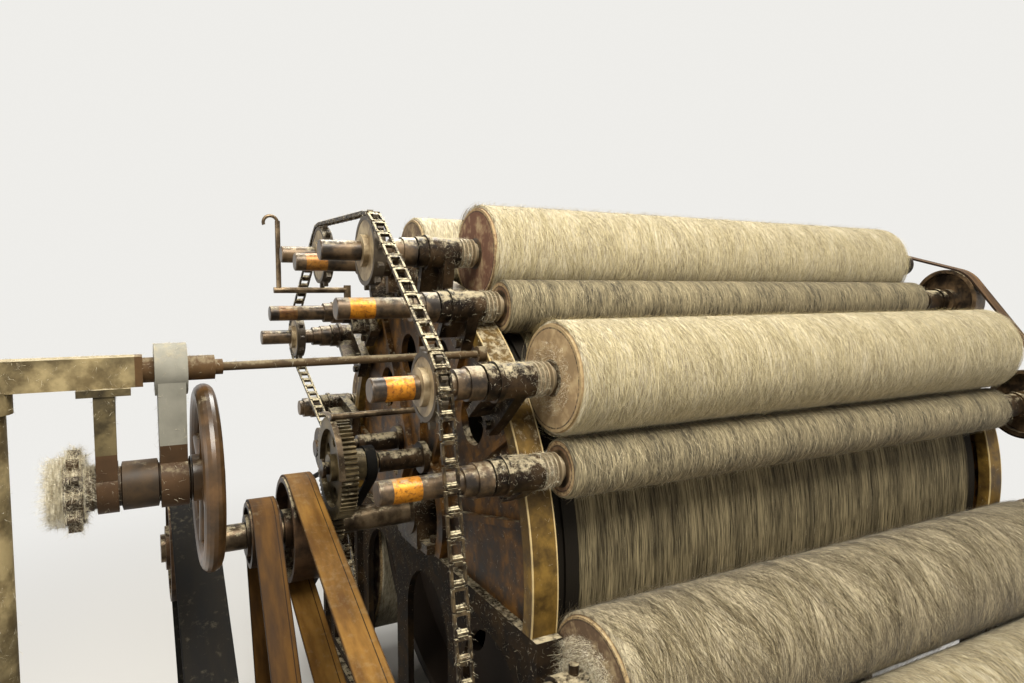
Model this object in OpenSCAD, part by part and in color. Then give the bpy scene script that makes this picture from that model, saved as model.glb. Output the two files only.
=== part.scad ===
// Woollen carding machine with workers and strippers round one large swift.
// X runs along the rollers, Y from the feed end to the delivery end, Z up from the floor.
// Positions across the machine are pairs [y, z]; angles are measured round the swift's axis
// from the delivery side, upwards.

/* [Rollers] */
// Working length of every roller
roller_l = 1524; // [1000:4:1800]
// Height of the swift's axis over the floor
swift_z = 940; // [900:1:1000]
// Radius of the swift over its card wire
swift_r = 608; // [560:1:620]
// Radius of a worker over its fleece
worker_r = 117; // [100:1:122]
// Radius of a stripper over its wire
stripper_r = 61; // [45:1:64]
// Radius of the transfer roller under the first stripper
transfer_r = 143; // [120:1:150]
// Radius of the licker-in
licker_r = 114; // [90:1:125]
// Radius of the fancy, the raising brush behind the last worker
fancy_r = 150; // [130:1:165]
// Radius of the doffer
doffer_r = 355; // [320:1:365]
// Radius of both feed rollers
feed_r = 40; // [32:1:44]
// Radius of both rollers of the feed lattice
lattice_r = 42; // [30:1:50]
// Running gap between neighbouring rollers
wire_gap = 3; // [2:0.5:6]
// Gap between the transfer roller and the licker-in
transfer_gap = 8; // [4:1:16]

/* [Roller places] */
// Angle of the first worker, on the feed side
worker_first = 144.4; // [142:0.1:146]
// Angle between neighbouring workers
worker_step = 35.5; // [34.5:0.1:36]
// Angle of the transfer roller
transfer_angle = 192; // [190:0.5:194]
// Direction from the transfer roller to the licker-in
licker_angle = 227.8; // [222:0.2:232]
// Angle of the fancy
fancy_angle = 14; // [12:0.5:15]
// Angle of the doffer
doffer_angle = -22; // [-24:0.5:-20]
// Distance between the two rollers of the feed lattice
lattice_reach = 540; // [400:5:640]
// Height of the wool lattice's axes below the licker-in's axis
lattice_drop = 26; // [20:1:40]

/* [Shafts] */
// Radius of the worker and stripper shafts
shaft_r = 22.5; // [18:0.5:25]
// Radius of the swift's shaft
swift_shaft_r = 32; // [28:0.5:36]
// Radius of the transfer, licker-in, fancy and doffer shafts
heavy_shaft_r = 26; // [22:0.5:30]
// Radius of the feed and lattice shafts
light_shaft_r = 15; // [12:0.5:18]
// Radial running clearance of every shaft in its bore
fit = 0.06; // [0.03:0.01:0.1]
// Length of the worker and stripper shafts outside the rollers, drive side
shaft_out = 376; // [360:1:400]

/* [Frames] */
// Width of the bends and side frames
frame_w = 60; // [50:1:66]
// Gap between the rollers' ends and the bends
end_gap = 6; // [4:1:10]
// Outer radius of the bends' rims
bend_r = 635; // [632:1:635]
// Radial thickness of the bends' rims
rim_t = 35; // [26:1:44]
// Height of the swift's axis over the seats of the bends
bend_seat = 90; // [80:1:100]
// Height of a roller's axis over its seat on the side frame
pedestal_h = 72; // [66:1:76]
// Width of the side frames' legs and rails
leg_w = 96; // [80:1:104]
// Thickness of the side frames' web
web_t = 18; // [12:1:26]

/* [Worker chain] */
// Distance from pin to pin of the worker chain
link_pitch = 41.5; // [38:0.1:44]
// Width of a chain link
link_w = 30; // [26:1:34]
// Distance from the rollers' ends to the middle of the worker chain
chain_out = 262; // [255:1:268]
// Teeth of the two upper workers' sprockets
upper_teeth = 13; // [12:1:14]
// Teeth of the first and last workers' sprockets
outer_teeth = 11; // [10:1:12]
// Teeth of the sprocket that drives the worker chain
driver_teeth = 14; // [13:1:15]

/* [Gears and belts] */
// Tooth module of the drive gears
gear_module = 4; // [3.8:0.1:4.2]
// Teeth of the pinion on the swift's shaft
swift_pinion_teeth = 22; // [20:1:24]
// Teeth of the large stud gear
stud_gear_teeth = 62; // [58:1:64]
// Width of the large stud gear
gear_w = 40; // [30:1:44]
// Thickness of the flat belts
belt_t = 6; // [4:0.5:8]
// Radius of the swift's pulley for the chain drive
chain_pulley_r = 80; // [70:1:90]
// Radius of the swift's pulley for the licker-in
licker_pulley_r = 130; // [120:1:136]
// Radius of the main driving pulley
main_pulley_r = 122; // [110:1:130]
// Radius of the strippers' pulleys
stripper_pulley_r = 105; // [95:1:112]
// Radius of the swift's pulley that drives the strippers
stripper_drive_r = 420; // [380:5:450]

/* [Hand shaft] */
// Radius of the handwheel over its rim
handwheel_r = 170; // [150:1:180]
// Radius of the handwheel's round rim
handwheel_rim_r = 17; // [14:0.5:20]
// Height of the hand shaft's axis over the swift's axis
hand_shaft_rise = 262; // [255:1:275]
// Height of the beam's axis over the hand shaft's axis
beam_rise = 200; // [190:1:210]

/* [Hidden] */
$fn = 72;
// Clearance between a belt and its pulley
belt_gap = 0.4;

// Ends of the rollers and places along the machine
half = roller_l / 2;
function out(o) = half + o;

// Places round the swift, as [y, z]
function polar(c, a, r) = [c[0] + r * cos(a), c[1] + r * sin(a)];
swift_at = [0, swift_z];
worker_c = swift_r + wire_gap + worker_r;
stripper_c = swift_r + wire_gap + stripper_r;
pair_c = worker_r + wire_gap + stripper_r;
pair_lag = acos((worker_c * worker_c + stripper_c * stripper_c - pair_c * pair_c) / (2 * worker_c * stripper_c));
worker_angle = [for (i = [0:3]) worker_first - i * worker_step];
worker_at = [for (a = worker_angle) polar(swift_at, a, worker_c)];
stripper_at = [for (a = worker_angle) polar(swift_at, a + pair_lag, stripper_c)];
transfer_at = polar(swift_at, transfer_angle, swift_r + wire_gap + transfer_r);
licker_at = polar(transfer_at, licker_angle, transfer_r + transfer_gap + licker_r);
fancy_c = swift_r + wire_gap + fancy_r;
fancy_at = polar(swift_at, fancy_angle, fancy_c);
doffer_at = polar(swift_at, doffer_angle, swift_r + wire_gap + doffer_r);

// Feed rollers nip just in front of the licker-in
nip = 1;
feed_rise = feed_r + nip;
feed_run = sqrt(pow(licker_r + wire_gap + feed_r, 2) - pow(feed_rise, 2));
feed_top_at = licker_at + [-feed_run, feed_rise];
feed_bottom_at = licker_at + [-feed_run, -feed_rise];
lattice_front_at = [feed_bottom_at[0] - feed_r - lattice_r - 22, licker_at[1] - lattice_drop - lattice_r];
lattice_back_at = lattice_front_at - [lattice_reach, 0];
lattice_l = roller_l - 84;

// Stations outwards from the rollers' ends
bend_in = end_gap;
bend_out = end_gap + frame_w;
barrel_in = bend_out - 16;
barrel_out = barrel_in + 106;
barrel_r = 36;
web_out = bend_in + (frame_w + web_t) / 2;
bend_web_out = bend_in + 20 + web_t;
stripper_pulley_out = 182;
stripper_pulley_w = 56;
right_end = stripper_pulley_out + stripper_pulley_w + 12;
gear_out = 300;
licker_belt_out = 384;
licker_belt_w = 66;
chain_belt_out = 474;
chain_belt_w = 62;
main_belt_out = 590;
main_belt_w = 92;
swift_shaft_out = 700;

// Seats and outline of the side frames
bend_seat_z = swift_z - bend_seat;
transfer_seat_z = transfer_at[1] - pedestal_h;
licker_seat_z = licker_at[1] - pedestal_h;
doffer_seat_z = doffer_at[1] - pedestal_h;
bend_half = sqrt(bend_r * bend_r - bend_seat * bend_seat);
frame_front = feed_bottom_at[0] - 92;
licker_step = (licker_at[0] + transfer_at[0]) / 2;
bend_step = -bend_half - 22;
doffer_step = bend_half + 14;
frame_back = doffer_at[0] + 240;
rail_h = 104;

// Chain drive below the swift, and its idlers
driver_at = [-362, swift_z - 590];
pinion_teeth = 16;
wheel_teeth = 64;
reduction_c = gear_module * (pinion_teeth + wheel_teeth) / 2;
drive_angle = 44.5;
reduction_at = polar(driver_at, drive_angle, reduction_c);
idler_at = [206, swift_z + 152];
idler_r = 46;
reduction_pulley_r = 160;
reduction_gear_out = 222;
stud_c = gear_module * (swift_pinion_teeth + stud_gear_teeth) / 2;
stud_angle = 110;
stud_at = polar(swift_at, stud_angle, stud_c);
stud_r = 16;
stud_gear_web_r = gear_module * stud_gear_teeth / 2 - 26;
doffer_belt_out = 222;
doffer_belt_w = 26;
stud_pulley_r = 40;
doffer_pulley_r = 200;
drive_shaft_at = [-1060, 250];
drive_shaft_r = 28;
drive_pulley_r = 122;
hand_at = [-420, swift_z + hand_shaft_rise];
beam_z = hand_at[1] + beam_rise;
handwheel_out = 631;
beam_end_out = 612;
beam_start_out = 960;
hand_sprocket_out = 836;
hand_sleeve_r = 42;
column_out = 684;
hanger_out = 787;
beam_neck_out = 728;
drive_end_out = main_belt_out + 160;
licker_far_r = 140;
fancy_pulley_r = 83;
licker_gear_out = bend_out + 40;
licker_gear_teeth = 44;
licker_module = (transfer_r + transfer_gap + licker_r) / licker_gear_teeth;
feed_gear_teeth = 20;
feed_module = 2 * feed_rise / feed_gear_teeth;
backlash = 0.5;
comb_pitch = 16;
comb_arm = 112;
comb_gap = 8;
comb_at = [doffer_at[0] + doffer_r + comb_gap + comb_arm, doffer_at[1] + 18];

// The machine's middle is moved over the origin
stand_out = beam_start_out + 70;
centre_x = (right_end - stand_out) / 2;
front_y = lattice_back_at[0] - 90;
back_y = comb_at[0] + 30;
centre_y = (front_y + back_y) / 2;

// Loops of belts and chains: wheels are [y, z, signed radius], plus where the loop
// goes round the wheel, minus where the wheel presses on it from outside.
function ccw(a) = ((a % 360) + 360) % 360;
function turn(a, r) = r > 0 ? ccw(a) : -ccw(-a);
function heading(a, b) = let (d = [b[0] - a[0], b[1] - a[1]]) atan2(d[1], d[0]) - asin((b[2] - a[2]) / norm(d));
function rim_point(w, dir) = [w[0] + w[2] * sin(dir), w[1] - w[2] * cos(dir)];
function loop_legs(w) = let (n = len(w), dirs = [for (i = [0:n - 1]) heading(w[i], w[(i + 1) % n])])
    [for (i = [0:n - 1]) let (
        first = dirs[(i + n - 1) % n],
        swing = turn(dirs[i] - first, w[i][2]),
        line = norm(rim_point(w[(i + 1) % n], dirs[i]) - rim_point(w[i], dirs[i]))
    ) [w[i], first, swing, abs(w[i][2] * swing) * PI / 180, line]];
function total(v, i = 0) = i < len(v) ? v[i] + total(v, i + 1) : 0;
function loop_length(w) = total([for (s = loop_legs(w)) s[3] + s[4]]);
function grown(w, g) = [for (c = w) [c[0], c[1], c[2] + g]];
function loop_outline(w, step) = [for (s = loop_legs(w)) let (n = max(1, ceil(abs(s[2]) / step)))
    for (k = [0:n]) rim_point(s[0], s[1] + s[2] * k / n)];
// A place and heading at a distance along the loop
function along(legs, s, i = 0) = let (g = legs[i % len(legs)])
    s < g[3] ? let (dir = g[1] + g[2] * s / g[3]) [rim_point(g[0], dir), dir]
    : s < g[3] + g[4] ? let (dir = g[1] + g[2]) [rim_point(g[0], dir) + (s - g[3]) * [cos(dir), sin(dir)], dir]
    : along(legs, s - g[3] - g[4], i + 1);

// Worker chain: a whole number of links, taken up by the lower idler
function pitch_r(teeth) = teeth * link_pitch / (2 * PI);
bar_r = 3.6;
hook_r = 7;
link_t = 8;
function chain_wheels(slack) = [
    [worker_at[3][0], worker_at[3][1], pitch_r(outer_teeth)],
    [worker_at[2][0], worker_at[2][1], pitch_r(upper_teeth)],
    [worker_at[1][0], worker_at[1][1], pitch_r(upper_teeth)],
    [worker_at[0][0], worker_at[0][1], pitch_r(outer_teeth)],
    [-735 - slack * 0.6, swift_z - 420 - slack * 0.8, pitch_r(outer_teeth)],
    [driver_at[0], driver_at[1], pitch_r(driver_teeth)],
    [idler_at[0], idler_at[1], -norm([idler_r + link_t / 2 + belt_gap, link_pitch / 2])]
];
links = ceil(loop_length(chain_wheels(0)) / link_pitch);
function take_up(low, high, n) = let (m = (low + high) / 2) n == 0 ? m
    : loop_length(chain_wheels(m)) > links * link_pitch ? take_up(low, m, n - 1) : take_up(m, high, n - 1);
slack = take_up(0, 90, 24);
chain = chain_wheels(slack);
chain_legs = loop_legs(chain);
lower_idler_at = [chain[4][0], chain[4][1]];
function leg_start(i) = i == 0 ? 0 : leg_start(i - 1) + chain_legs[i - 1][3] + chain_legs[i - 1][4];
// Angle of a tooth of the chain wheel, half a link on from a pin
function tooth_angle(i) = chain_legs[i][1] - 90 - (leg_start(i) / chain[i][2]) * 180 / PI
    + 90 * link_pitch / (PI * chain[i][2]);

// Helpers: turned parts, plates across the machine, and bars along X
module home() translate([-centre_x, -centre_y, 0]) children();
module bar(x0, x1, at, r) translate([x0, at[0], at[1]]) rotate([0, 90, 0]) cylinder(h = x1 - x0, r = r);
module ring(x0, x1, at, r_out, r_in) difference() {
    bar(x0, x1, at, r_out);
    bar(x0 - 1, x1 + 1, at, r_in);
}
module turned(at, profile) translate([0, at[0], at[1]]) rotate([0, 90, 0]) rotate_extrude() polygon(profile);
module plate(x0, x1) translate([x0, 0, 0]) rotate([90, 0, 90]) linear_extrude(x1 - x0) children();
module both_sides() {
    children();
    mirror([1, 0, 0]) children();
}

// Side frames: a web with rails, legs and arched windows
module seat_outline() polygon([
    [frame_front, 0], [frame_front, licker_seat_z], [licker_step, licker_seat_z],
    [licker_step, transfer_seat_z], [bend_step, transfer_seat_z], [bend_step, bend_seat_z],
    [doffer_step, bend_seat_z], [doffer_step, doffer_seat_z], [frame_back, doffer_seat_z], [frame_back, 0]
]);
module window(y0, y1, top) {
    w = y1 - y0;
    translate([y0, rail_h]) square([w, top - rail_h - w / 2]);
    translate([(y0 + y1) / 2, top - w / 2]) circle(r = w / 2);
}
module windows(y0, y1, count, top) {
    w = (y1 - y0 - (count + 1) * leg_w) / count;
    for (i = [0:count - 1]) window(y0 + leg_w + i * (w + leg_w), y0 + (i + 1) * (w + leg_w), top);
}
module side_frame() difference() {
    union() {
        plate(-out(bend_in + (frame_w + web_t) / 2), -out(bend_in + (frame_w - web_t) / 2)) difference() {
            seat_outline();
            windows(frame_front, licker_step, 1, licker_seat_z - leg_w);
            windows(bend_step, doffer_step, 3, bend_seat_z - leg_w);
            windows(doffer_step, frame_back, 1, doffer_seat_z - leg_w);
        }
        plate(-out(bend_out), -out(bend_in)) intersection() {
            seat_outline();
            union() {
                translate([frame_front, 0]) square([frame_back - frame_front, rail_h - 30]);
                translate([frame_front, licker_seat_z - 50]) square([licker_step - frame_front, 50]);
                translate([licker_step, transfer_seat_z - 50]) square([bend_step - licker_step, 50]);
                translate([bend_step, bend_seat_z - 50]) square([doffer_step - bend_step, 50]);
                translate([doffer_step, doffer_seat_z - 50]) square([frame_back - doffer_step, 50]);
                for (y = [frame_front, licker_step, bend_step, doffer_step - 34, frame_back - 34])
                    translate([y, 0]) square([34, swift_z]);
            }
        }
        for (y = [frame_front + 60, 0, frame_back - 60]) translate([-out(bend_out + 34), y - 50, 0])
            cube([34 + frame_w / 2, 100, 26]);
    }
    for (y = [frame_front + 60, 0, frame_back - 60]) translate([-out(bend_out + 16), y, -1])
        cylinder(h = 40, r = 9);
}
module left_side_frame() home() color("#4a3a2a") side_frame();
module right_side_frame() home() color("#4a3a2a") mirror([1, 0, 0]) side_frame();

// Bends: half discs with a flanged rim, ribs and a slot for the swift's bearing
module bend() {
    slot_w = 124;
    difference() {
        union() {
            difference() {
                bar(-out(bend_out), -out(bend_in), swift_at, bend_r);
                bar(-out(bend_out + 1), -out(bend_in - 1), swift_at, bend_r - rim_t);
            }
            bar(-out(bend_in + 20 + web_t), -out(bend_in + 20), swift_at, bend_r - rim_t / 2);
            for (a = [12, 59, 90, 121, 150, 168]) translate([-out(bend_out - 6), 0, swift_z]) rotate([a, 0, 0])
                translate([0, slot_w + 30, -8]) cube([frame_w - 12, bend_r - rim_t / 2 - slot_w - 30, 16]);
            ring(-out(bend_out), -out(bend_in + 10), swift_at, slot_w + 52, slot_w + 16);
        }
        translate([-out(bend_out + 20), -swift_r * 2, 0]) cube([frame_w + 40, swift_r * 4, bend_seat_z]);
        bar(-out(bend_out + 2), -out(bend_in - 2), swift_at, slot_w);
        translate([-out(bend_out + 2), -slot_w, bend_seat_z - 2]) cube([frame_w + 4, 2 * slot_w, bend_seat + 2]);
        for (a = [44, 74, 106, 136]) bar(-out(bend_out), -out(bend_in), polar(swift_at, a, 430), 62);
    }
}
module left_bend() home() color("#8a6a35") bend();
module right_bend() home() color("#8a6a35") mirror([1, 0, 0]) bend();

// Rails between the webs of the two frames, at their legs
module cross_rails() home() color("#4a3a2a") {
    web_face = bend_in + (frame_w - web_t) / 2;
    leg_step = (doffer_step - bend_step - leg_w) / 3;
    for (y = [frame_front + 64, bend_step + leg_w / 2 + leg_step, doffer_step - leg_w / 2 - leg_step, frame_back - 64])
        translate([-out(web_face), y - 28, 128]) cube([2 * out(web_face), 56, 110]);
}

// Swift bearings on the side frames
module swift_pedestals() home() color("#3a3128") both_sides() difference() {
    union() {
        bar(-out(bend_in + 92), -out(bend_in + 2), swift_at, 62);
        translate([-out(bend_in + 86), -62, bend_seat_z]) cube([78, 124, bend_seat]);
        translate([-out(bend_in + 78), -112, bend_seat_z]) cube([64, 224, 24]);
        for (y = [-88, 88]) translate([-out(bend_in + 46), y, bend_seat_z + 20]) cylinder(h = 18, r = 13);
        translate([-out(bend_in + 46), 0, swift_z + 40]) cylinder(h = 44, r = 17);
    }
    bar(-out(bend_in + 96), -out(bend_in - 2), swift_at, swift_shaft_r + fit);
}

// A bearing barrel on a bracket bolted to the outside of a bend
module bend_bracket(angle, c, r, bore) translate([0, 0, swift_z]) rotate([angle, 0, 0]) difference() {
    union() {
        plate(-out(bend_out + 26), -out(bend_out)) union() {
            polygon([[bend_r - 66, -r - 8], [bend_r - 4, -r - 8], [c, -r], [c, r], [bend_r - 4, r + 8], [bend_r - 66, r + 8]]);
            translate([c, 0]) circle(r = r);
        }
        bar(-out(barrel_out), -out(barrel_in), [c, 0], r);
        bar(-out(barrel_out - 24), -out(barrel_out - 34), [c, 0], r + 5);
        translate([-out(bend_out + 70), bend_r - 40, -9]) cube([46, c - bend_r + 40 - r / 2, 18]);
        for (s = [-1, 1]) translate([-out(bend_out + 37), bend_r - 44, s * (r - 8)]) rotate([0, 90, 0])
            cylinder(h = 14, r = 11, $fn = 6);
    }
    bar(-out(barrel_out + 2), -out(barrel_in - 2), [c, 0], bore + fit);
}
module roller_bearings() {
    for (a = worker_angle) {
        bend_bracket(a, worker_c, barrel_r, shaft_r);
        bend_bracket(a + pair_lag, stripper_c, barrel_r - 1, shaft_r);
    }
    bend_bracket(fancy_angle, fancy_c, barrel_r + 4, heavy_shaft_r);
}
module left_roller_bearings() home() color("#3b2f22") roller_bearings();
module right_roller_bearings() home() color("#3b2f22") mirror([1, 0, 0]) roller_bearings();

// Pedestals of the transfer roller, the licker-in and the doffer
module pedestal(at, seat_z, r, bore) difference() {
    union() {
        bar(-out(bend_out + 12), -out(bend_in), at, r);
        translate([-out(bend_out - 4), at[0] - r, seat_z]) cube([frame_w - 8, 2 * r, at[1] - seat_z]);
        translate([-out(bend_out), at[0] - r - 26, seat_z]) cube([frame_w, 2 * r + 52, 16]);
        translate([-out(bend_in + frame_w / 2), at[0], at[1] + r - 8]) cylinder(h = 26, r = 10);
        for (s = [-1, 1]) translate([-out(bend_in + frame_w / 2), at[0] + s * (r + 13), seat_z + 14])
            cylinder(h = 12, r = 9, $fn = 6);
    }
    bar(-out(bend_out + 14), -out(bend_in - 2), at, bore + fit);
}
module roller_pedestals() home() color("#3b2f22") both_sides() {
    pedestal(transfer_at, transfer_seat_z, 44, heavy_shaft_r);
    pedestal(licker_at, licker_seat_z, 44, heavy_shaft_r);
    pedestal(doffer_at, doffer_seat_z, 48, heavy_shaft_r);
}
module feed_housings() home() color("#4a3a2a") both_sides() difference() {
    translate([-out(bend_out - 4), feed_top_at[0] - 34, licker_seat_z])
        cube([frame_w - 8, 68, feed_top_at[1] + 44 - licker_seat_z]);
    bar(-out(bend_out), -out(bend_in - 2), feed_top_at, light_shaft_r + fit);
    bar(-out(bend_out), -out(bend_in - 2), feed_bottom_at, light_shaft_r + fit);
}

// Feed table: side boards with the lattice rollers' bearings, legs and a back rail
board_in = lattice_l / 2 + 8;
board_t = out(bend_in) - board_in - 0.3;
module feed_table() home() color("#7a5a34") {
    both_sides() difference() {
        union() {
            plate(-board_in - board_t, -board_in) polygon([
                [lattice_back_at[0] - 90, lattice_back_at[1] - 60], [lattice_front_at[0] + 58, lattice_front_at[1] - 60],
                [lattice_front_at[0] + 58, licker_seat_z + 20], [lattice_front_at[0] + 20, licker_at[1] + 56],
                [lattice_back_at[0] - 60, licker_at[1] + 56], [lattice_back_at[0] - 90, licker_at[1] + 20]
            ]);
            translate([-board_in - board_t - 30, lattice_back_at[0] - 60, 0]) cube([30, 76, licker_at[1] + 20]);
        }
        for (c = [lattice_front_at, lattice_back_at])
            bar(-board_in - board_t - 31, -board_in + 1, c, light_shaft_r + fit);
    }
    translate([-board_in, lattice_back_at[0] - 90, lattice_back_at[1] - 58]) cube([2 * board_in, 24, 120]);
}

// Feed lattice: an endless apron whose slats stand up from its canvas
slat_t = 9;
apron_t = 3;
lattice_wheels = [
    [lattice_front_at[0], lattice_front_at[1], lattice_r + belt_gap],
    [lattice_back_at[0], lattice_back_at[1], lattice_r + belt_gap]
];
module feed_lattice() home() color("#9a7a4c") {
    inner = loop_outline(lattice_wheels, 10);
    outer_legs = loop_legs(grown(lattice_wheels, apron_t));
    length = loop_length(grown(lattice_wheels, apron_t));
    count = round(length / 33);
    step = length / count;
    outer = [for (k = [0:count - 1], e = [[0, 0], [0, 1], [0.66, 1], [0.66, 0]]) let (
        p = along(outer_legs, (k + 0.1 + e[0]) * step)
    ) p[0] + e[1] * slat_t * [sin(p[1]), -cos(p[1])]];
    plate(-lattice_l / 2, lattice_l / 2) difference() {
        polygon(outer);
        polygon(inner);
    }
}

module comb_brackets() home() color("#4a3a2a") both_sides() difference() {
    plate(-out(bend_in + 42), -out(bend_in + 20)) union() {
        polygon([
            [frame_back, doffer_seat_z - 190], [frame_back, doffer_seat_z - 60],
            [comb_at[0] - 20, comb_at[1] + 24], [comb_at[0] + 20, comb_at[1] - 24]
        ]);
        translate(comb_at) circle(r = 30);
    }
    bar(-out(bend_out), -out(bend_in), comb_at, light_shaft_r + fit);
}

// Bracket on the side frame for the chain drive, and the fixed studs of the idlers
module drive_bracket() home() color("#3b2f22") {
    difference() {
        union() {
            plate(-out(bend_out + 22), -out(bend_out)) polygon([
                [bend_step, 0], [bend_step, rail_h], [driver_at[0] - 60, driver_at[1] + 60],
                [reduction_at[0] - 70, reduction_at[1] + 60], [reduction_at[0] + 60, reduction_at[1] + 60],
                [reduction_at[0] + 60, reduction_at[1] - 60], [-70, rail_h], [-70, 30], [-90, 0]
            ]);
            bar(-out(barrel_out), -out(bend_out), driver_at, 40);
            bar(-out(barrel_out), -out(bend_out), reduction_at, 40);
        }
        bar(-out(barrel_out + 2), -out(bend_in), driver_at, shaft_r + fit);
        bar(-out(barrel_out + 2), -out(bend_in), reduction_at, shaft_r + fit);
    }
    stud(lower_idler_at, web_out, chain_out + 34);
    stud(idler_at, bend_web_out, chain_out + 34);
    stud(stud_at, bend_out, gear_out + 40);
}
module stud(at, from, to) {
    bar(-out(from + 16), -out(from), at, 42);
    bar(-out(from + 130), -out(from + 10), at, 26);
    bar(-out(to), -out(from + 110), at, stud_r);
    bar(-out(to), -out(to - 8), at, stud_r + 8);
}

// The swift: a drum with dished ends, its shaft and what is keyed to it
drum_end = 15;
module swift_drum() home() color("#3f3a33") difference() {
    turned(swift_at, [
        [swift_shaft_r + fit, -half + drum_end + 30], [110, -half + drum_end + 30], [130, -half + drum_end + 80],
        [swift_r - 60, -half + drum_end + 80], [swift_r - 34, -half + drum_end + 4], [swift_r - 8, -half + drum_end],
        [swift_r - 8, -half + drum_end + 14], [swift_r, -half + drum_end + 14], [swift_r, half - drum_end - 14],
        [swift_r - 8, half - drum_end - 14], [swift_r - 8, half - drum_end], [swift_r - 34, half - drum_end - 4],
        [swift_r - 60, half - drum_end - 80], [130, half - drum_end - 80], [110, half - drum_end - 30],
        [swift_shaft_r + fit, half - drum_end - 30]
    ]);
    ring(-half + drum_end + 108, half - drum_end - 108, swift_at, swift_r - 44, 90);
    for (k = [0:5]) bar(-half, half, polar(swift_at, k * 60 + 30, 340), 95);
}
module swift_shaft() home() color("#7d5a3c") bar(-out(swift_shaft_out), out(right_end), swift_at, swift_shaft_r);
// A flat pulley with a rim, a web and a hub
module pulley(at, mid, w, r, bore) turned(at, [
    [bore + fit, mid - w / 2 - 6], [bore + 18, mid - w / 2 - 6], [bore + 18, mid - 7], [r - 12, mid - 7],
    [r - 12, mid - w / 2], [r - 0.5, mid - w / 2], [r, mid - w / 2 + 1], [r, mid + w / 2 - 1],
    [r - 0.5, mid + w / 2], [r - 12, mid + w / 2], [r - 12, mid + 7], [bore + 18, mid + 7],
    [bore + 18, mid + w / 2 + 6], [bore + fit, mid + w / 2 + 6]
]);
module belt_pulleys() home() color("#5b4632") {
    pulley(swift_at, -out(licker_belt_out), licker_belt_w + 8, licker_pulley_r, swift_shaft_r);
    pulley(swift_at, -out(chain_belt_out), chain_belt_w + 8, chain_pulley_r, swift_shaft_r);
    pulley(swift_at, -out(main_belt_out + 44), main_belt_w + 8, main_pulley_r, swift_shaft_r);
}
module stripper_drive_pulley() home() color("#4d4438")
    pulley(swift_at, out(stripper_pulley_out + stripper_pulley_w / 2), stripper_pulley_w, stripper_drive_r, swift_shaft_r);

// Involute teeth with a little backlash, as an outline
function involute(base, r) = let (t = sqrt(max(0, pow(r / base, 2) - 1))) t * 180 / PI - atan(t);
function tooth_points(teeth, m) = let (
    pitch = m * teeth / 2, base = pitch * cos(20), root = pitch - m * 1.25,
    half_tooth = 90 / teeth - backlash / pitch * 90 / PI + involute(base, pitch),
    flank = [for (r = [max(base, root), (base + pitch) / 2, pitch, pitch + m * 0.9])
        [r, half_tooth - involute(base, r)]]
) concat([[root, -flank[0][1]]], [for (f = flank) [f[0], -f[1]]],
    [for (k = [3:-1:0]) flank[k]], [[root, flank[0][1]]]);
function gear_outline(teeth, m, phase) = let (tooth = tooth_points(teeth, m))
    [for (i = [0:teeth - 1], q = tooth) let (a = phase + i * 360 / teeth + q[1]) [q[0] * cos(a), q[0] * sin(a)]];
module toothed(at, x0, x1, teeth, m, phase) translate([0, at[0], at[1]]) plate(x0, x1)
    polygon(gear_outline(teeth, m, phase));
// Phase of the second gear of a pair, whose space meets the first one's tooth
function meshed(first_teeth, first_phase, teeth, dir) =
    dir + 180 - 180 / teeth + (dir - first_phase) * first_teeth / teeth;

module swift_pinion() home() color("#6b6257") difference() {
    toothed(swift_at, -out(gear_out + gear_w / 2), -out(gear_out - gear_w / 2), swift_pinion_teeth, gear_module, 0);
    bar(-out(gear_out + gear_w), -out(gear_out - gear_w), swift_at, swift_shaft_r + fit);
}
module stud_gear() home() color("#6b6a66") difference() {
    union() {
        difference() {
            toothed(stud_at, -out(gear_out + gear_w / 2), -out(gear_out - gear_w / 2), stud_gear_teeth,
                gear_module, meshed(swift_pinion_teeth, 0, stud_gear_teeth, stud_angle));
            bar(-out(gear_out + gear_w), -out(gear_out + 6), stud_at, stud_gear_web_r);
            bar(-out(gear_out - 6), -out(gear_out - gear_w), stud_at, stud_gear_web_r);
            for (a = [30, 90, 150, 210, 270, 330]) bar(-out(gear_out + gear_w), -out(gear_out - gear_w),
                polar(stud_at, a, 68), 17);
        }
        bar(-out(gear_out + gear_w / 2 + 2), -out(gear_out - gear_w / 2 - 2), stud_at, 34);
        bar(-out(gear_out), -out(doffer_belt_out - 16), stud_at, stud_pulley_r);
    }
    bar(-out(gear_out + 40), -out(doffer_belt_out - 20), stud_at, stud_r + fit);
}
// A thin bent strip over the stud gear, on a rod from the bend
module gear_guard() home() color("#8f8878") {
    guard_r = gear_module * stud_gear_teeth / 2 + 14;
    intersection() {
        ring(-out(gear_out + 30), -out(gear_out + 16), stud_at, guard_r + 3, guard_r);
        translate([0, stud_at[0], stud_at[1]]) plate(-out(gear_out + 34), -out(gear_out + 12))
            polygon([[0, 0], [guard_r, guard_r * 3], [-guard_r * 3, guard_r], [-guard_r * 3, 0]]);
    }
    bar(-out(gear_out + 28), -out(bend_web_out), polar(stud_at, 112, guard_r + 3 + 8), 8.02);
}

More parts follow.
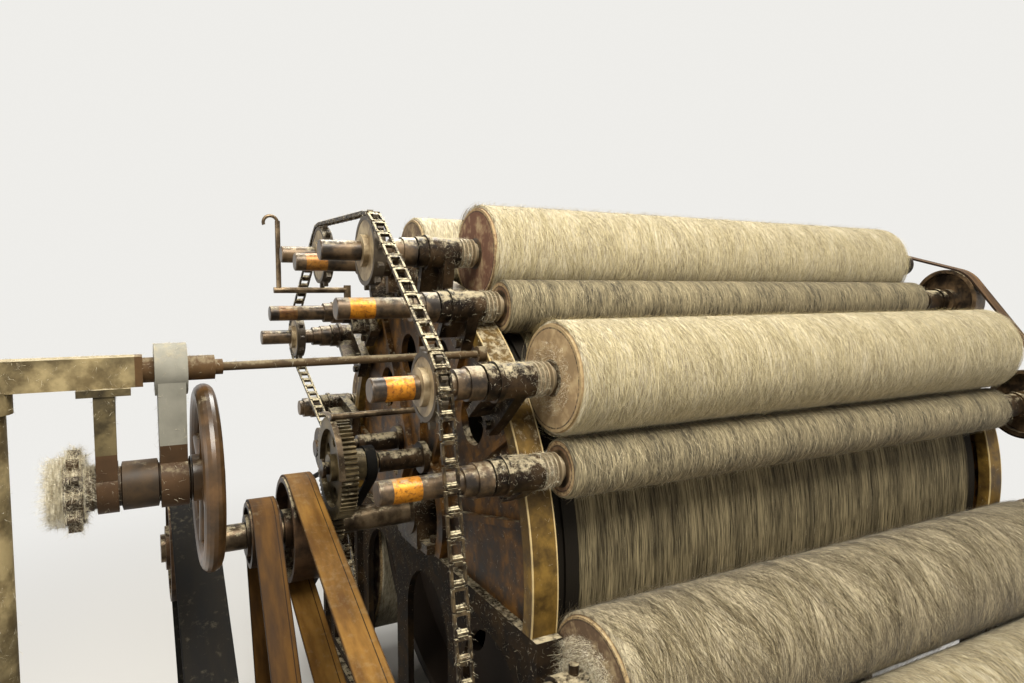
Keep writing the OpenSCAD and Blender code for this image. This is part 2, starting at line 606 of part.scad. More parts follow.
// A worker or stripper: shaft with collars, disc ends, and the covered surface
module roller(at, r, disc_r, left_out, right_end, spindle_r) turned(at, [
    [0, -out(left_out)], [spindle_r - 2, -out(left_out)], [spindle_r, -out(left_out - 2)],
    [spindle_r, -out(barrel_out + 60)], [spindle_r + 7, -out(barrel_out + 60)],
    [spindle_r + 7, -out(barrel_out + 34)], [spindle_r + 11, -out(barrel_out + 34)],
    [spindle_r + 11, -out(barrel_out + 3)], [spindle_r, -out(barrel_out + 3)], [spindle_r, -out(barrel_in - 3)],
    for (i = [0:3]) each [
        [spindle_r + 3, -out(barrel_in - 3 - i * 10)], [spindle_r + 12, -out(barrel_in - 6 - i * 10)],
        [spindle_r + 12, -out(barrel_in - 9 - i * 10)], [spindle_r + 3, -out(barrel_in - 12 - i * 10)]
    ],
    [spindle_r + 3, -half], [disc_r, -half], [disc_r, -half + 5], [r, -half + 9], [r, half - 9],
    [disc_r, half - 5], [disc_r, half], [spindle_r + 10, half], [spindle_r + 10, out(barrel_in - 4)],
    [spindle_r, out(barrel_in - 4)], [spindle_r, out(right_end)], [0, out(right_end)]
]);
// A roller in pedestals: plain shaft through the bearing, a collar beyond it
module pedestal_roller(at, r, disc_r, left_out, right_end) turned(at, [
    [0, -out(left_out)], [heavy_shaft_r - 2, -out(left_out)], [heavy_shaft_r, -out(left_out - 2)],
    [heavy_shaft_r, -out(bend_out + 44)], [heavy_shaft_r + 10, -out(bend_out + 44)],
    [heavy_shaft_r + 10, -out(bend_out + 14)], [heavy_shaft_r, -out(bend_out + 14)], [heavy_shaft_r, -out(bend_in - 2)],
    [heavy_shaft_r + 14, -out(bend_in - 2)], [heavy_shaft_r + 14, -half], [disc_r, -half], [disc_r, -half + 5],
    [r, -half + 9], [r, half - 9], [disc_r, half - 5], [disc_r, half], [heavy_shaft_r + 14, half],
    [heavy_shaft_r + 14, out(bend_in - 2)], [heavy_shaft_r, out(bend_in - 2)],
    [heavy_shaft_r, out(right_end)], [0, out(right_end)]
]);
worker_end = barrel_out + 14;
module worker(i) home() color("#d8ccb0") roller(worker_at[i], worker_r, worker_r - 8, shaft_out, worker_end, shaft_r);
module stripper(i) home() color("#8d8474") union() {
    roller(stripper_at[i], stripper_r, stripper_r - 4, shaft_out, right_end, shaft_r);
    pulley(stripper_at[i], out(stripper_pulley_out + stripper_pulley_w / 2), stripper_pulley_w,
        stripper_pulley_r, shaft_r - 1);
}
module worker_1() worker(0);
module worker_2() worker(1);
module worker_3() worker(2);
module worker_4() worker(3);
module stripper_1() stripper(0);
module stripper_2() stripper(1);
module stripper_3() stripper(2);
module stripper_4() stripper(3);

// A chain wheel: a disc, a rim as wide as the chain, and teeth between the pins
module chain_wheel(at, teeth, phase, bore) {
    r = pitch_r(teeth);
    rim = r - hook_r - 0.6;
    tooth_w = 12;
    difference() {
        union() {
            ring(-out(chain_out + link_w / 2 - 2), -out(chain_out - link_w / 2 + 2), at, rim, rim - 9);
            bar(-out(chain_out + 12), -out(chain_out + 4), at, rim - 4);
            bar(-out(chain_out + 24), -out(chain_out - 20), at, bore + 14);
            for (k = [0:teeth - 1]) translate([0, at[0], at[1]]) rotate([phase + k * 360 / teeth, 0, 0])
                plate(-out(chain_out + 6), -out(chain_out - 6)) polygon([
                    [rim - 3, -tooth_w / 2], [r, -tooth_w / 2 + 1], [r + 6, -2.5], [r + 6, 2.5],
                    [r, tooth_w / 2 - 1], [rim - 3, tooth_w / 2]
                ]);
        }
        bar(-out(chain_out + 60), -out(chain_out - 60), at, bore + fit);
    }
}
module worker_sprocket(i) home() color("#b7ac95")
    chain_wheel(worker_at[i], i == 1 || i == 2 ? upper_teeth : outer_teeth, tooth_angle(3 - i), shaft_r);
module worker_sprocket_1() worker_sprocket(0);
module worker_sprocket_2() worker_sprocket(1);
module worker_sprocket_3() worker_sprocket(2);
module worker_sprocket_4() worker_sprocket(3);

// One link: two side bars, a cross bar with a hook round the last link's round bar
module link(length) {
    side_t = 4.5;
    difference() {
        translate([-link_w / 2, hook_r + 0.6, -link_t / 2]) cube([link_w, length + 3.4 - hook_r - 0.6, link_t]);
        translate([-link_w / 2 + side_t, hook_r + 4.6, -link_t]) cube([link_w - 2 * side_t, length, 2 * link_t]);
    }
    translate([-link_w / 2 + 1, length, 0]) rotate([0, 90, 0]) rotate([0, 0, 22.5])
        cylinder(h = link_w - 2, r = bar_r, $fn = 8);
    plate(-link_w / 2 + side_t + 1.2, link_w / 2 - side_t - 1.2) polygon([
        [hook_r + 2, -link_t / 2], [hook_r + 2, link_t / 2], [3, hook_r - 0.6], [-4, 6], [-hook_r, 0],
        [-4.6, -2], [-2.8, 3.6], [2.4, 4.4], [4.4, 1], [4.4, -link_t / 2]
    ]);
}
module worker_chain() home() color("#4b4234") for (k = [0:links - 1]) {
    from = along(chain_legs, k * link_pitch)[0];
    to = along(chain_legs, (k + 1) % links * link_pitch)[0];
    step = to - from;
    translate([-out(chain_out), from[0], from[1]]) rotate([atan2(step[1], step[0]), 0, 0]) link(norm(step));
}

module transfer_roller() home() color("#cdbf9f") union() {
    pedestal_roller(transfer_at, transfer_r, transfer_r - 9, 200, licker_gear_out + gear_w);
    toothed(transfer_at, out(licker_gear_out), out(licker_gear_out + 30), licker_gear_teeth, licker_module, 0);
}
module licker_in() home() color("#cdbf9f") union() {
    pedestal_roller(licker_at, licker_r, licker_r - 8, licker_belt_out + licker_belt_w / 2 + 14, licker_gear_out + gear_w);
    toothed(licker_at, out(licker_gear_out), out(licker_gear_out + 30), licker_gear_teeth, licker_module,
        meshed(licker_gear_teeth, 0, licker_gear_teeth, licker_angle));
    pulley(licker_at, -out(licker_belt_out), licker_belt_w + 8, licker_far_r, heavy_shaft_r - 1);
}
module fancy() home() color("#6e6558") union() {
    roller(fancy_at, fancy_r, fancy_r - 10, 230, right_end, heavy_shaft_r);
    pulley(fancy_at, out(stripper_pulley_out + stripper_pulley_w / 2), stripper_pulley_w, fancy_pulley_r, heavy_shaft_r - 1);
}
module doffer() home() color("#b9ad90") union() {
    pedestal_roller(doffer_at, doffer_r, doffer_r - 12, doffer_belt_out + 30, 120);
    pulley(doffer_at, -out(doffer_belt_out), doffer_belt_w + 8, doffer_pulley_r, heavy_shaft_r - 1);
}

// The doffer comb: a toothed blade on arms from a rocking shaft
module doffer_comb() home() color("#8c8778") union() {
    blade_y = comb_at[0] - comb_arm;
    teeth = floor((roller_l - 60) / comb_pitch);
    bar(-out(bend_in + 60), out(bend_in + 60), comb_at, light_shaft_r);
    for (i = [-2:2]) translate([i * roller_l / 4.4 - 8, blade_y + 1, comb_at[1] - 7]) cube([16, comb_arm - 4, 14]);
    translate([0, blade_y + 3, comb_at[1]]) rotate([90, 0, 0]) linear_extrude(3) union() {
        translate([-half + 30, -16]) square([roller_l - 60, 34]);
        for (i = [0:teeth - 1]) translate([-half + 30 + (i + 0.2) * comb_pitch, -16]) polygon([
            [0, 1], [comb_pitch * 0.6, 1], [comb_pitch * 0.3, -12]
        ]);
    }
}

module feed_roller(at, phase) union() {
    turned(at, [
        [0, -out(bend_out + 8)], [light_shaft_r, -out(bend_out + 8)], [light_shaft_r, -half + 2],
        [feed_r, -half + 2], [feed_r, half - 2], [light_shaft_r, half - 2],
        [light_shaft_r, out(bend_out + 34)], [0, out(bend_out + 34)]
    ]);
    toothed(at, out(bend_out + 6), out(bend_out + 30), feed_gear_teeth, feed_module, phase);
}
module feed_roller_top() home() color("#6f675b") feed_roller(feed_top_at, 0);
module feed_roller_bottom() home() color("#6f675b")
    feed_roller(feed_bottom_at, meshed(feed_gear_teeth, 0, feed_gear_teeth, -90));
module lattice_roller(at, beyond) turned(at, [
    [0, -board_in - board_t - beyond], [light_shaft_r, -board_in - board_t - beyond], [light_shaft_r, -lattice_l / 2],
    [lattice_r, -lattice_l / 2], [lattice_r, lattice_l / 2], [light_shaft_r, lattice_l / 2],
    [light_shaft_r, board_in + board_t + beyond], [0, board_in + board_t + beyond]
]);
module lattice_roller_front() home() color("#7a5a34") lattice_roller(lattice_front_at, -2);
module lattice_roller_back() home() color("#7a5a34") lattice_roller(lattice_back_at, 46);

// Slow drive of the worker chain: a belt pulley with a pinion, and a wheel with the driving sprocket
module reduction_shaft() home() color("#6b6257") union() {
    bar(-out(chain_belt_out + 52), -out(bend_out - 8), reduction_at, shaft_r);
    bar(-out(barrel_out + 16), -out(barrel_out + 2), reduction_at, shaft_r + 9);
    pulley(reduction_at, -out(chain_belt_out), chain_belt_w + 8, reduction_pulley_r, shaft_r - 1);
    toothed(reduction_at, -out(reduction_gear_out + 13), -out(reduction_gear_out - 13), pinion_teeth, gear_module, 0);
}
module chain_driver() home() color("#6b6257") union() {
    bar(-out(chain_out + 34), -out(bend_out - 8), driver_at, shaft_r);
    bar(-out(barrel_out + 16), -out(barrel_out + 2), driver_at, shaft_r + 9);
    toothed(driver_at, -out(reduction_gear_out + 12), -out(reduction_gear_out - 12), wheel_teeth, gear_module,
        meshed(pinion_teeth, 0, wheel_teeth, drive_angle + 180));
    chain_wheel(driver_at, driver_teeth, tooth_angle(5), shaft_r - 1);
}
module lower_idler() home() color("#5a4f40") chain_wheel(lower_idler_at, outer_teeth, tooth_angle(4), stud_r);
module tension_idler() home() color("#5a4f40") difference() {
    union() {
        bar(-out(chain_out + link_w / 2 - 2), -out(chain_out - link_w / 2 + 2), idler_at, idler_r);
        ring(-out(chain_out + link_w / 2 + 8), -out(chain_out + link_w / 2 + 2), idler_at, idler_r + 12, stud_r);
        ring(-out(chain_out - link_w / 2 - 2), -out(chain_out - link_w / 2 - 8), idler_at, idler_r + 12, stud_r);
        bar(-out(chain_out + link_w / 2 + 8), -out(chain_out - link_w / 2 - 8), idler_at, stud_r + 12);
    }
    bar(-out(chain_out + 60), -out(chain_out - 60), idler_at, stud_r + fit);
}

// Main driving shaft near the floor, and its bearings
module drive_shaft() home() color("#6b5a48") union() {
    bar(-out(drive_end_out), -out(bend_out + 2), drive_shaft_at, drive_shaft_r);
    bar(-out(bend_out + 62), -out(bend_out + 42), drive_shaft_at, drive_shaft_r + 12);
    pulley(drive_shaft_at, -out(main_belt_out + 44), main_belt_w + 8, drive_pulley_r, drive_shaft_r - 1);
}
module drive_stands() home() color("#3b2f22") difference() {
    union() {
        plate(-out(drive_end_out - 4), -out(drive_end_out - 44)) union() {
            polygon([
                [drive_shaft_at[0] - 120, 0], [drive_shaft_at[0] - 120, 22], [drive_shaft_at[0] - 44, drive_shaft_at[1]],
                [drive_shaft_at[0] + 44, drive_shaft_at[1]], [drive_shaft_at[0] + 120, 22], [drive_shaft_at[0] + 120, 0]
            ]);
            translate(drive_shaft_at) circle(r = 48);
        }
        translate([-out(drive_end_out + 26), drive_shaft_at[0] - 130, 0]) cube([100, 260, 20]);
        plate(-out(bend_out + 40), -out(bend_out)) union() {
            polygon([
                [frame_front, 60], [frame_front, drive_shaft_at[1]], [drive_shaft_at[0], drive_shaft_at[1] + 46],
                [drive_shaft_at[0] + 44, drive_shaft_at[1]], [drive_shaft_at[0] + 60, 60]
            ]);
            translate(drive_shaft_at) circle(r = 48);
        }
    }
    bar(-out(drive_end_out + 2), -out(bend_out - 2), drive_shaft_at, drive_shaft_r + fit);
}

// Hand shaft: a thick sleeve with a sprocket at its outer end, and the handwheel on it
module hand_shaft() home() color("#6a4a38") union() {
    turned(hand_at, [
        [0, -out(hand_sprocket_out + 34)], [22, -out(hand_sprocket_out + 34)], [22, -out(hand_sprocket_out - 10)],
        [hand_sleeve_r - 5, -out(hand_sprocket_out - 10)], [hand_sleeve_r - 5, -out(hanger_out + 22)],
        [hand_sleeve_r - 8, -out(hanger_out + 20)], [hand_sleeve_r - 8, -out(hanger_out - 20)],
        [hand_sleeve_r, -out(hanger_out - 22)], [hand_sleeve_r, -out(column_out + 26)],
        [hand_sleeve_r - 8, -out(column_out + 24)], [hand_sleeve_r - 8, -out(column_out - 24)],
        [hand_sleeve_r - 2, -out(column_out - 26)], [hand_sleeve_r - 2, -out(handwheel_out + 26)],
        [26, -out(handwheel_out + 26)], [26, -out(handwheel_out - 30)], [0, -out(handwheel_out - 30)]
    ]);
    bar(-out(hand_sprocket_out + 14), -out(hand_sprocket_out - 14), hand_at, 56);
    for (k = [0:11]) translate([0, hand_at[0], hand_at[1]]) rotate([k * 30, 0, 0])
        plate(-out(hand_sprocket_out + 9), -out(hand_sprocket_out - 9)) polygon([
            [52, -10], [62, -7], [70, -3], [70, 3], [62, 7], [52, 10]
        ]);
}
module handwheel() home() color("#5d3b2c") difference() {
    union() {
        turned(hand_at, [for (k = [0:15]) let (a = (k + 0.5) * 22.5)
            [handwheel_r - handwheel_rim_r * (1 - cos(a)), handwheel_rim_r * sin(a) - out(handwheel_out)]]);
        for (k = [0:3]) translate([-out(handwheel_out), hand_at[0], hand_at[1]]) rotate([k * 90 + 20, 0, 0])
            cylinder(h = handwheel_r - handwheel_rim_r, r = 12);
        bar(-out(handwheel_out + 24), -out(handwheel_out - 24), hand_at, 42);
    }
    bar(-out(handwheel_out + 40), -out(handwheel_out - 40), hand_at, 26 + fit);
}

// The beam over the hand shaft, on a floor column outside, tied to the bend
module overhead_beam() home() color("#6e6450") difference() {
    union() {
        translate([-out(beam_start_out + 26), hand_at[0] - 26, beam_z - 26]) cube([beam_start_out - beam_neck_out + 26, 52, 52]);
        bar(-out(beam_neck_out), -out(beam_end_out), [hand_at[0], beam_z], 22);
        bar(-out(beam_end_out), -out(bend_out), [hand_at[0], beam_z], 8);
        bar(-out(bend_out + 18), -out(bend_out), [hand_at[0], beam_z], 17);
        bar(-out(beam_end_out + 4), -out(beam_end_out - 14), [hand_at[0], beam_z], 14);
        translate([-out(beam_start_out), hand_at[0], 20]) cylinder(h = beam_z - 40, r = 34);
        translate([-out(beam_start_out), hand_at[0], 20]) cylinder(h = 90, r = 48);
        translate([-out(stand_out), hand_at[0] - 100, 0]) cube([140, 200, 22]);
        translate([-out(beam_start_out), hand_at[0], beam_z - 60]) cylinder(h = 36, r = 44);
    }
    for (s = [-1, 1]) translate([-out(beam_start_out), hand_at[0] + s * 78, -1]) cylinder(h = 40, r = 9);
}
module shaft_hangers() home() color("#8b8474") {
    difference() {
        union() {
            plate(-out(column_out + 22), -out(column_out - 22)) union() {
                polygon([[hand_at[0] - 44, beam_z + 8], [hand_at[0] + 44, beam_z + 8],
                    [hand_at[0] + 26, hand_at[1] + 30], [hand_at[0] - 26, hand_at[1] + 30]]);
                translate([hand_at[0], hand_at[1]]) circle(r = hand_sleeve_r + 4);
            }
            bar(-out(column_out + 26), -out(column_out - 26), [hand_at[0], beam_z], 46);
        }
        bar(-out(column_out + 40), -out(column_out - 40), [hand_at[0], beam_z], 22.2);
        bar(-out(column_out + 40), -out(column_out - 40), hand_at, hand_sleeve_r - 8 + fit);
    }
    difference() {
        union() {
            plate(-out(hanger_out + 16), -out(hanger_out - 16)) union() {
                polygon([[hand_at[0] - 36, beam_z - 26], [hand_at[0] + 36, beam_z - 26], [hand_at[0] + 30, beam_z - 44],
                    [hand_at[0] - 14, beam_z - 80], [hand_at[0] - 22, hand_at[1] + 20], [hand_at[0] - 40, hand_at[1] + 20],
                    [hand_at[0] - 40, beam_z - 60]]);
                translate([hand_at[0], hand_at[1]]) circle(r = hand_sleeve_r + 2);
            }
            translate([-out(hanger_out + 40), hand_at[0] - 40, beam_z - 38]) cube([80, 80, 12]);
        }
        bar(-out(hanger_out + 40), -out(hanger_out - 40), hand_at, hand_sleeve_r - 8 + fit);
    }
}
// A slim post with a small hook: it stands on an arm from the last stripper's bearing
module hook_post() home() color("#4d4a40") {
    foot = stripper_at[3] + [-20, 70];
    stub_r = 11;
    rod_r = 9;
    post_r = 7.5;
    stub_out = barrel_out - 12;
    post_out = 350;
    post_h = 205;
    hook_r = 20;
    difference() {
        translate([-out(stub_out), foot[0], stripper_at[3][1] + 10]) cylinder(h = 75, r = stub_r);
        bar(-out(barrel_out + 4), -out(barrel_in), stripper_at[3], barrel_r - 1);
    }
    bar(-out(post_out + 15), -out(stub_out), foot, rod_r);
    translate([-out(post_out), foot[0], foot[1]]) cylinder(h = post_h, r = post_r);
    translate([-out(post_out) - hook_r, foot[0], foot[1] + post_h - 6]) rotate([90, 0, 0])
        rotate_extrude(angle = 200) translate([hook_r, 0]) circle(r = 5, $fn = 8);
}

// Flat belts
module belt(wheels, mid, w, step) plate(mid - w / 2, mid + w / 2) difference() {
    polygon(loop_outline(grown(wheels, belt_gap + belt_t), step));
    polygon(loop_outline(grown(wheels, belt_gap), step));
}
module chain_drive_belt() home() color("#a8793f") belt([
    [swift_at[0], swift_at[1], chain_pulley_r], [reduction_at[0], reduction_at[1], reduction_pulley_r]
], -out(chain_belt_out), chain_belt_w, 8);
module licker_belt() home() color("#a8793f") belt([
    [swift_at[0], swift_at[1], licker_pulley_r], [licker_at[0], licker_at[1], licker_far_r]
], -out(licker_belt_out), licker_belt_w, 6);
module main_belt() home() color("#1d1b19") belt([
    [swift_at[0], swift_at[1], main_pulley_r], [drive_shaft_at[0], drive_shaft_at[1], drive_pulley_r]
], -out(main_belt_out + 44), main_belt_w, 6);
module doffer_belt() home() color("#1d1b19") belt([
    [doffer_at[0], doffer_at[1], doffer_pulley_r], [stud_at[0], stud_at[1], stud_pulley_r]
], -out(doffer_belt_out), doffer_belt_w, 6);
module stripper_belt() home() color("#6e4f2c") belt([
    [fancy_at[0], fancy_at[1], fancy_pulley_r],
    for (i = [3:-1:0]) [stripper_at[i][0], stripper_at[i][1], stripper_pulley_r],
    [swift_at[0], swift_at[1], -(stripper_drive_r + 2 * belt_gap + belt_t)]
], out(stripper_pulley_out + stripper_pulley_w / 2), stripper_pulley_w - 8, 3);

left_side_frame();
right_side_frame();
left_bend();
right_bend();
cross_rails();
swift_pedestals();
left_roller_bearings();
right_roller_bearings();
roller_pedestals();
feed_housings();
feed_table();
feed_lattice();
comb_brackets();
drive_bracket();
swift_drum();
swift_shaft();
belt_pulleys();
swift_pinion();
stripper_drive_pulley();
worker_1();
worker_2();
worker_3();
worker_4();
worker_sprocket_1();
worker_sprocket_2();
worker_sprocket_3();
worker_sprocket_4();
stripper_1();
stripper_2();
stripper_3();
stripper_4();
transfer_roller();
licker_in();
fancy();
doffer();
doffer_comb();
feed_roller_top();
feed_roller_bottom();
lattice_roller_front();
lattice_roller_back();
stud_gear();
gear_guard();
reduction_shaft();
chain_driver();
lower_idler();
tension_idler();
worker_chain();
chain_drive_belt();
licker_belt();
main_belt();
doffer_belt();
stripper_belt();
drive_shaft();
drive_stands();
hand_shaft();
handwheel();
overhead_beam();
shaft_hangers();
hook_post();
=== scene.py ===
# %% [markdown]
# # A woollen carding machine
# A carding machine combs loose wool into a thin even fleece. One large drum, the swift,
# turns in the middle. Pairs of smaller rollers stand round its upper half: a worker, which
# takes wool off the swift, and a stripper, which gives it back. All of them are covered with
# fine wire teeth, and the wool on them is what the eye sees first.
#
# The iron, the shafts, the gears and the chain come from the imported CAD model. This lesson
# dresses them: it gives every part a finish made of shader nodes, and it lays wool on the
# rollers as many thin strands.

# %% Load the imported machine
import math

import bpy
import numpy as np
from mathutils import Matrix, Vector


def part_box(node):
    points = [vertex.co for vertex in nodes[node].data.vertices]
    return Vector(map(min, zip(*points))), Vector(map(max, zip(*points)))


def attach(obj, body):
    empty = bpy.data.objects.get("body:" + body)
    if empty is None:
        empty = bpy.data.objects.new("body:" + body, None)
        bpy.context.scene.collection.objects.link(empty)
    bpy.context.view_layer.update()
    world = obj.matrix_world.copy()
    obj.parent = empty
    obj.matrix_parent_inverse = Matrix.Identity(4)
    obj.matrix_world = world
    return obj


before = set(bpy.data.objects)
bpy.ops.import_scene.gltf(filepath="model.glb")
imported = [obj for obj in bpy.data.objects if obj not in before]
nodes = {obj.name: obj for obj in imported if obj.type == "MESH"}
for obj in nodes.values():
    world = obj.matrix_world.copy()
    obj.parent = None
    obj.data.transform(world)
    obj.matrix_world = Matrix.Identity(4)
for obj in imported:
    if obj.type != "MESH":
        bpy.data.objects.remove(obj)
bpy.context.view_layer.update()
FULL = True

# %% [markdown]
# ## Where things are
# Every roller lies along X, so the middle of its box gives its axis. The wire-covered part of
# every roller is 1524 mm long, and the drive side is at its low-X end. Many places on the
# drive side are given as a distance out from that end.

# %% Places along and across the machine
ROLLER_HALF = 0.762


def axis_of(node):
    """Y and Z of the axis of a round part that lies along X."""
    low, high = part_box(node)
    return (low.y + high.y) / 2, (low.z + high.z) / 2


SWIFT_Y, SWIFT_Z = axis_of("swift_shaft")
drum_low, drum_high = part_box("swift_drum")
ROLLER_MID = (drum_low.x + drum_high.x) / 2
DRIVE_END = ROLLER_MID - ROLLER_HALF
print("rollers start at x", round(DRIVE_END, 4), "swift's axis is at", round(SWIFT_Y, 4), round(SWIFT_Z, 4))

# %% [markdown]
# ## Radii of the woolly rollers
# The finishes and the strands both need the radius of a roller's cover, in metres. The four
# workers share one, and so do the four strippers.

# %% Radii
WORKER_R = 0.117
STRIPPER_R = 0.061
TRANSFER_R = 0.143
LICKER_R = 0.114
FANCY_R = 0.150
DOFFER_R = 0.355
SWIFT_R = 0.608
PAIRS = (1, 2, 3, 4)
print(len(PAIRS), "workers of", 2 * WORKER_R, "m and as many strippers of", 2 * STRIPPER_R, "m across")

# %% [markdown]
# ## Camera
# The picture was taken from the feed side with a wide lens, close to the drive end and a
# little above the swift. The place and the lens were worked out from the rollers' edges.

# %% Camera
camera_data = bpy.data.cameras.new("picture_camera")
camera_data.lens = 24.97
camera_data.sensor_width = 36.0
camera_data.clip_start = 0.05
camera_data.clip_end = 60.0
camera = bpy.data.objects.new("picture_camera", camera_data)
bpy.context.collection.objects.link(camera)
camera.location = (-1.1146, -1.6093, 1.543)
looking = Vector((0.4717, 0.8788, -0.0736))
camera.rotation_euler = looking.to_track_quat("-Z", "Y").to_euler()
bpy.context.scene.camera = camera
away = (camera.location - Vector((DRIVE_END, SWIFT_Y, SWIFT_Z))).length
print("camera stands", round(away, 2), "m from the swift's drive end")

# %% [markdown]
# ## Lamps
# Three large soft lamps light the machine plainly: a key lamp from the feed side, a weaker one
# from the drive side, and one behind for the edges of the wool. A large lamp gives soft shadows.

# %% Lamps
MACHINE_HEART = Vector((ROLLER_MID - 0.2, 0.0, 1.0))


def soft_lamp(name, stand, size, watts, colour):
    data = bpy.data.lights.new(name, "AREA")
    data.shape = "DISK"
    data.size = size
    data.energy = watts
    data.color = colour
    lamp = bpy.data.objects.new(name, data)
    bpy.context.collection.objects.link(lamp)
    lamp.location = stand
    lamp.rotation_euler = (MACHINE_HEART - Vector(stand)).to_track_quat("-Z", "Y").to_euler()
    print(name, watts, "W")


# name, place, size in metres, watts, colour
soft_lamp("key", (-0.6, -2.3, 4.6), 2.2, 300, (1.0, 0.96, 0.88))
soft_lamp("drive_side", (-4.2, -1.0, 2.8), 1.8, 80, (1.0, 0.95, 0.87))
soft_lamp("behind", (0.9, 2.2, 4.6), 2.2, 190, (1.0, 0.99, 0.95))

# %% [markdown]
# ## Small helpers for node materials
# Colours are written as they look on a screen, from 0 to 255, and turned into the linear
# values that the renderer works with. One function places a node and fills or links its inputs,
# and the rest are short names for the nodes that every finish here is made of.

# %% Helpers: colours and nodes
def paint(red, green, blue):
    def linear(c):
        c = c / 255
        return c / 12.92 if c <= 0.04045 else ((c + 0.055) / 1.055) ** 2.4
    return linear(red), linear(green), linear(blue), 1.0


def darker(colour, share):
    return [min(1, c * share) for c in colour[:3]] + [1.0]


def between(first, second):
    return tuple((a + b) / 2 for a, b in zip(first, second))


def fill_socket(tree, socket, value):
    if isinstance(value, bpy.types.NodeSocket):
        tree.links.new(value, socket)
    else:
        socket.default_value = value


def connect(tree, sockets, **values):
    """Fill or link sockets by name, with _ for a blank."""
    for label, value in values.items():
        fill_socket(tree, sockets[label.replace("_", " ")], value)


def place(tree, kind, inputs=(), **settings):
    node = tree.nodes.new(kind)
    for key, value in settings.items():
        setattr(node, key, value)
    for socket, value in dict(inputs).items():
        fill_socket(tree, node.inputs[socket], value)
    return node


print("a mid grey on screen is", round(paint(128, 128, 128)[0], 3), "in linear light")

# %% Helpers: numbers and masks
def calc(tree, operation, a, b=0.0, c=0.0, clamp=False):
    node = place(tree, "ShaderNodeMath", {0: a, 1: b, 2: c}, operation=operation)
    node.use_clamp = clamp
    return node.outputs[0]


def times(tree, a, b):
    return calc(tree, "MULTIPLY", a, b)


def above(tree, value, limit):
    return calc(tree, "GREATER_THAN", value, limit)


def close_to(tree, value, middle, reach):
    """1 where a value lies within a reach of its middle, and 0 elsewhere."""
    return calc(tree, "COMPARE", value, middle, reach)


def ease(tree, value, low, high):
    """0 below low, 1 above high, smooth between."""
    node = place(tree, "ShaderNodeMapRange", {"Value": value, "From Min": low, "From Max": high})
    node.interpolation_type = "SMOOTHSTEP"
    return node.outputs["Result"]


def blend(tree, mask, first, second, share=1.0):
    """The second colour where the mask is 1, or a share of it."""
    if share != 1.0:
        mask = times(tree, mask, share)
    node = place(tree, "ShaderNodeMix", data_type="RGBA")
    for socket, value in ((0, mask), (6, first), (7, second)):
        fill_socket(tree, node.inputs[socket], value)
    return node.outputs[2]


print("masks run from 0 to 1")

# %% Helpers: places on the surface
def spot(tree):
    """Where a point lies in the machine's own frame, in metres."""
    return place(tree, "ShaderNodeTexCoord").outputs["Object"]


def split(tree, vector):
    return place(tree, "ShaderNodeSeparateXYZ", {0: vector}).outputs


def off_middle(tree, node):
    """How far along X a point lies from the middle of a part, and half the part's width."""
    low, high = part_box(node)
    away = calc(tree, "SUBTRACT", split(tree, spot(tree))["X"], (low.x + high.x) / 2)
    return calc(tree, "ABSOLUTE", away), (high.x - low.x) / 2


def scaled(tree, where, scale):
    return place(tree, "ShaderNodeVectorMath", {0: where, "Scale": scale}, operation="SCALE").outputs[0]


def stretched(tree, where, scale):
    return place(tree, "ShaderNodeVectorMath", {0: where, 1: scale}, operation="MULTIPLY").outputs[0]


def noise(tree, where, scale, detail=4.0, rough=0.55):
    return place(tree, "ShaderNodeTexNoise", {
        "Vector": where, "Scale": scale, "Detail": detail, "Roughness": rough}).outputs["Fac"]


print("places are in metres")

# %% Helpers: groups, materials and bumps
def new_group(name, inputs, outputs):
    tree = bpy.data.node_groups.new(name, "ShaderNodeTree")
    for label, default in inputs.items():
        socket = tree.interface.new_socket(label, in_out="INPUT", socket_type="NodeSocketFloat")
        socket.default_value = default
    for label in outputs:
        tree.interface.new_socket(label, in_out="OUTPUT", socket_type="NodeSocketFloat")
    print("group", name, "gives", outputs)
    return tree, tree.nodes.new("NodeGroupInput").outputs, tree.nodes.new("NodeGroupOutput").inputs


def use_group(tree, group, **values):
    node = tree.nodes.new("ShaderNodeGroup")
    node.node_tree = group
    connect(tree, node.inputs, **values)
    return node.outputs


def new_material(name, rough=0.6, metal=0.0, specular=0.5):
    material = bpy.data.materials.new(name)
    material.use_nodes = True
    tree = material.node_tree
    shader = tree.nodes["Principled BSDF"].inputs
    connect(tree, shader, Roughness=rough, Metallic=metal, Specular_IOR_Level=specular)
    return material, tree, shader


def bump(tree, shader, height, depth):
    node = place(tree, "ShaderNodeBump", {"Height": height, "Distance": depth, "Strength": 1.0})
    connect(tree, shader, Normal=node.outputs["Normal"])


print("groups give masks and values, materials the shader")

# %% [markdown]
# ## World
# The world has two strengths. Rays that light the machine meet a weak warm fill. Rays that leave
# the camera, or that a shiny or clear part sends out, meet the pale background. So the
# background is pale, but it costs the machine no contrast.

# %% World
FILL, FILL_STRENGTH = (1.0, 0.97, 0.92, 1.0), 0.32
PALE, PALE_STRENGTH = (0.86, 0.85, 0.82, 1.0), 1.0
world = bpy.data.worlds.new("studio")
bpy.context.scene.world = world
bpy.context.scene.view_settings.view_transform = "Standard"
world.use_nodes = True
sky = world.node_tree
sky.nodes.clear()
rays = place(sky, "ShaderNodeLightPath").outputs
seen = calc(sky, "MAXIMUM", rays["Is Camera Ray"], rays["Is Glossy Ray"])
seen = calc(sky, "MAXIMUM", seen, rays["Is Transmission Ray"])
fill = place(sky, "ShaderNodeBackground", {"Color": FILL, "Strength": FILL_STRENGTH})
pale = place(sky, "ShaderNodeBackground", {"Color": PALE, "Strength": PALE_STRENGTH})
choice = place(sky, "ShaderNodeMixShader", {0: seen, 1: fill.outputs[0], 2: pale.outputs[0]})
place(sky, "ShaderNodeOutputWorld", {"Surface": choice.outputs[0]})
